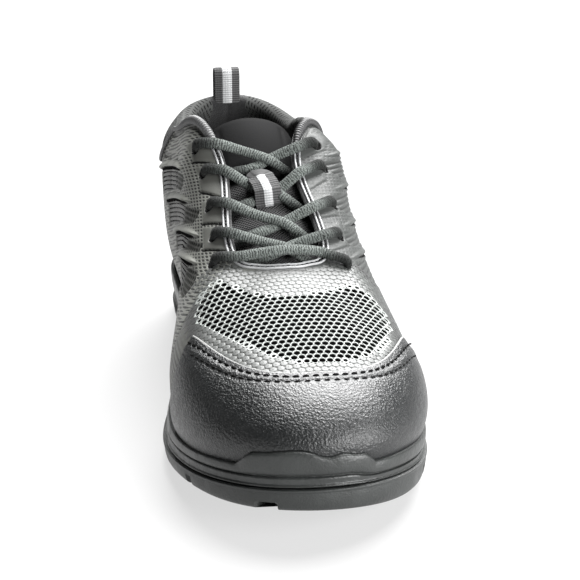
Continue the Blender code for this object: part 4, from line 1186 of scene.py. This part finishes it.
up = np.array([0, -0.35, 0.94])
runs = {}
bar, bar_up = down_hole(0, 1)
left, left_up = down_hole(0, -1)
points = [p + n * 0.4 * MM for p, n in ((bar[0], bar_up[0]), (left[0], left_up[0]))]
middle = (points[0] + points[1]) / 2 + np.array([0, -1.0, 1.8]) * MM
runs["lace_bar"] = (left[::-1] + [middle] + bar, left_up[::-1] + [up] + bar_up)
for index in range(4):
    for side in (1, -1):
        over = side < 0
        end, end_up = down_hole(index + 1, side)
        high, low_at = station(end[0]), (EYELETS[-side][index][0] + 5) * MM
        width = np.abs(eyelet(index, -side, 0.0)[0][0] + MIDDLE[0])
        middle_at = (high + low_at) / 2
        held = 1.2 * MM if index == 2 else 0.0
        stops = [over_tongue(low_at + 1.5 * MM, -side * (width + 4.5 * MM), 1.9 * MM),
                 over_tongue(low_at - 1.0 * MM, -side * (width - 4 * MM), 2.3 * MM),
                 over_tongue(middle_at + 2.5 * MM, -side * 5 * MM, (4.6 if over else 2.3) * MM - held),
                 over_tongue(middle_at - 2.5 * MM, side * 6 * MM, (5.4 if over else 2.9) * MM - held)]
        runs[f"lace_{index + 1}_{'over' if over else 'under'}"] = (stops + end, [up] * 4 + end_up)
lace_look, tree, shader = new_look("lace_cord", (0.05, 0.05, 0.052), 0.85,
                                   Specular_IOR_Level=0.12, Sheen_Weight=0.04)
along, about, _ = axes(tree, 2)
wander = calc(tree, "ADD", along, times(tree, grain(tree, 700, 2), 2.0 * MM))
rib = stripes(tree, wander, LACE_RIB)
twill = calc(tree, "SINE", calc(tree, "ADD", times(tree, along, 2 * np.pi / LACE_RIB),
                                times(tree, about, 2 * np.pi / (1.5 * MM))))
fleck = ramp(tree, grain(tree, 1900, 2), 0.58, 0.68)
tone = mixed(tree, rib, (0.0076, 0.0084, 0.008), (0.138, 0.153, 0.144))
tone = mixed(tree, times(tree, fleck, 0.7), tone, (0.29, 0.32, 0.303))
# Painted shade: the cord is darkened towards its ends, where it goes down into the holes.
painted_end_shade = times(tree, mark(tree, "shade"), 0.9)
paint(tree, shader, mixed(tree, painted_end_shade, tone, (0.004, 0.004, 0.004)))
relief(tree, shader, calc(tree, "ADD", rib, times(tree, twill, 0.1)), 0.22 * MM, 1.0)
for name, (stops, ups) in runs.items():
    (points, faces), uv, near = braided(stops, ups)
    lace = piece(name, points, faces, lace_look, "lace_cord", uv=uv, marks={"shade": near}, sharp=1.2)
    number = name.split("_")[1]
    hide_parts("lace_bar" if number == "bar" else f"lace_cross_{number}")


# Lace keeper
# A strip of ribbed webbing with a reflective stripe woven in. It is sewn to the tongue at both ends and holds
# down the third crossing of the lace.
KEEPER_AT, KEEPER_WIDTH, KEEPER_THICK = 139.5 * MM, 12.4 * MM, 1.2 * MM
KEEPER = ((-7.6, .3), (-7, .8), (-6.1, 4.2), (-3.8, 6.4), (-1, 6.9), (1.8, 6.3), (3.6, 4.2), (4.5, .8),
          (5.1, .3))                               # station from its middle, and height over the tongue


def webbing(name, stripe):
    """Look of a ribbed black band with a pale stripe of that width in its middle. uv is across and along."""
    look, tree, shader = new_look(name, (0.03, 0.03, 0.03), 0.75)
    across, along, _ = axes(tree, 2)
    rib, wale = stripes(tree, along, 1.1 * MM), stripes(tree, across, 1.3 * MM)
    ground = mixed(tree, rib, (0.006, 0.006, 0.006), (0.070, 0.070, 0.071))
    pale = mixed(tree, rib, (0.30, 0.305, 0.31), (0.48, 0.485, 0.49))
    inside = ramp(tree, calc(tree, "ABSOLUTE", across), stripe / 2 + 0.15 * MM, stripe / 2 - 0.15 * MM)
    paint(tree, shader, mixed(tree, inside, ground, pale), ramp(tree, inside, 0.0, 1.0, 0.8, 0.4))
    relief(tree, shader, calc(tree, "ADD", rib, times(tree, wale, 0.3)), 0.22 * MM, 0.8)
    return look


def band(path, up, half, thick, stripe):
    """Strip of even thickness along a path, rounded at its edges, as points, faces and uv."""
    across, over = cross_axes(path, up)
    inner = stripe * 0.93
    place_across = np.array([-1, -0.97, -0.8, -stripe, -inner, 0, inner, stripe, 0.8, 0.97, 1])
    high = np.array([0.3, 0.75, 1, 1, 1.12, 1.15, 1.12, 1, 1, 0.75, 0.3])
    cross = np.concatenate([np.stack([place_across, high], 1), np.stack([place_across, -high], 1)[::-1]])
    rings = (path[:, None] + across[:, None] * (cross[:, 0] * half)[:, None]
             + over[:, None] * (cross[:, 1] * thick / 2)[:, None])
    uv = np.stack(np.broadcast_arrays((cross[:, 0] * half)[None], run_along(path)[:, None]), -1)
    return *tube(rings), uv.reshape(-1, 2)


table = np.array(KEEPER) * MM
run = np.linspace(table[0, 0], table[-1, 0], 90)
up_by = spline(table[:, 0], table[:, 1:], run)[:, 0]
plan = np.stack([0.25 * run, KEEPER_AT + run], 1)
path = place(plan, tongue_top(plan[:, 1], plan[:, 0]) + up_by + 0.2 * MM)
points, faces, uv = band(path, np.array([0, -0.42, 0.9]), KEEPER_WIDTH / 2, KEEPER_THICK, 0.31)
keeper = piece("lace_keeper", points, faces, webbing("keeper_webbing", 3.8 * MM), "webbing", uv=uv, sharp=0.8)
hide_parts("lace_keeper")


# Pull loop
# The same webbing, a little wider and folded into a loop. Its two legs are sewn in at the top of the heel
# collar.
LOOP_WIDTH, LOOP_UP, LOOP_SPAN, LOOP_THICK = 12.6 * MM, 13 * MM, 8 * MM, 1.4 * MM
edge = SHEET[:, -1][[0, -1]].mean(0)
seat = edge[2] + COLLAR_PAD * 0.35
centre_at = station(edge) + COLLAR_PAD / 2
turn = np.linspace(np.pi, 0, 40)
reach = LOOP_SPAN / 2 - LOOP_THICK / 2
bend = np.stack([np.cos(turn) * reach, LOOP_UP - LOOP_SPAN / 2 + np.sin(turn) * reach], 1)
legs = np.linspace(-4.5 * MM, LOOP_UP - LOOP_SPAN / 2, 20)[:-1]
leg = np.stack([-reach + 0 * legs, legs], 1)
line = np.concatenate([leg, bend, leg[::-1] * (-1, 1)])
path = place(np.stack([0 * line[:, 0], centre_at + line[:, 0]], 1), seat + line[:, 1])
tangent = unit(np.gradient(line, axis=0))
up = np.stack([0 * line[:, 0], tangent[:, 1], tangent[:, 0]], 1)
points, faces, uv = band(path, up, LOOP_WIDTH / 2, LOOP_THICK, 0.375)
loop = piece("pull_loop", points, faces, webbing("loop_webbing", 4.7 * MM), "webbing", uv=uv, sharp=0.8)
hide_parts("pull_loop")


# Stage
# A plain pale floor that glows a little, soft light from above, a fill light from one side, and a camera in
# front of the toe that looks down on it.
bpy.ops.mesh.primitive_plane_add(size=12, location=(0, 0, -0.0002))
floor = bpy.context.object
floor.name = "floor"
paper, tree, shader = new_look("floor_paper", (0.15, 0.15, 0.15), 0.9,
                               Emission_Color=(1, 1, 1, 1), Emission_Strength=0.64)
floor.data.materials.append(paper)
floor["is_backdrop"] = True
scene = bpy.context.scene
world = bpy.data.worlds.new("studio")
world.use_nodes = True
world.node_tree.nodes["Background"].inputs[0].default_value = (1, 1, 1, 1)
world.node_tree.nodes["Background"].inputs[1].default_value = 0.11
scene.world = world
key = bpy.data.lights.new("key", "SUN")
key.energy, key.angle = 11.4, np.radians(48)
fill = bpy.data.lights.new("fill", "AREA")
fill.energy, fill.size = 42, 1.0
for lamp, toward in ((key, (0.28, 0.55, 0.79)), (fill, (0.65, -0.72, 0.25))):
    made = bpy.data.objects.new(lamp.name, lamp)
    made.location = Vector(toward) * 1.3
    made.rotation_euler = Vector(toward).to_track_quat("Z", "Y").to_euler()
    bpy.context.collection.objects.link(made)
FOCAL, OFF_CENTRE = 1882, 129                                # pixels
FORWARD, RIGHT = Vector((0.0901, 0.9354, -0.3420)), Vector((0.9954, -0.0958, 0))
lens = bpy.data.cameras.new("camera")
lens.lens, lens.sensor_width = 116.8, 36
camera = bpy.data.objects.new("camera", lens)
camera.location = (-0.1238, -0.7835, 0.339)
aim = FORWARD + RIGHT * (OFF_CENTRE / FOCAL)
camera.rotation_euler = aim.to_track_quat("-Z", "Y").to_euler()
bpy.context.collection.objects.link(camera)
scene.camera = camera
scene.view_settings.view_transform = "Standard"

low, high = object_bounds()
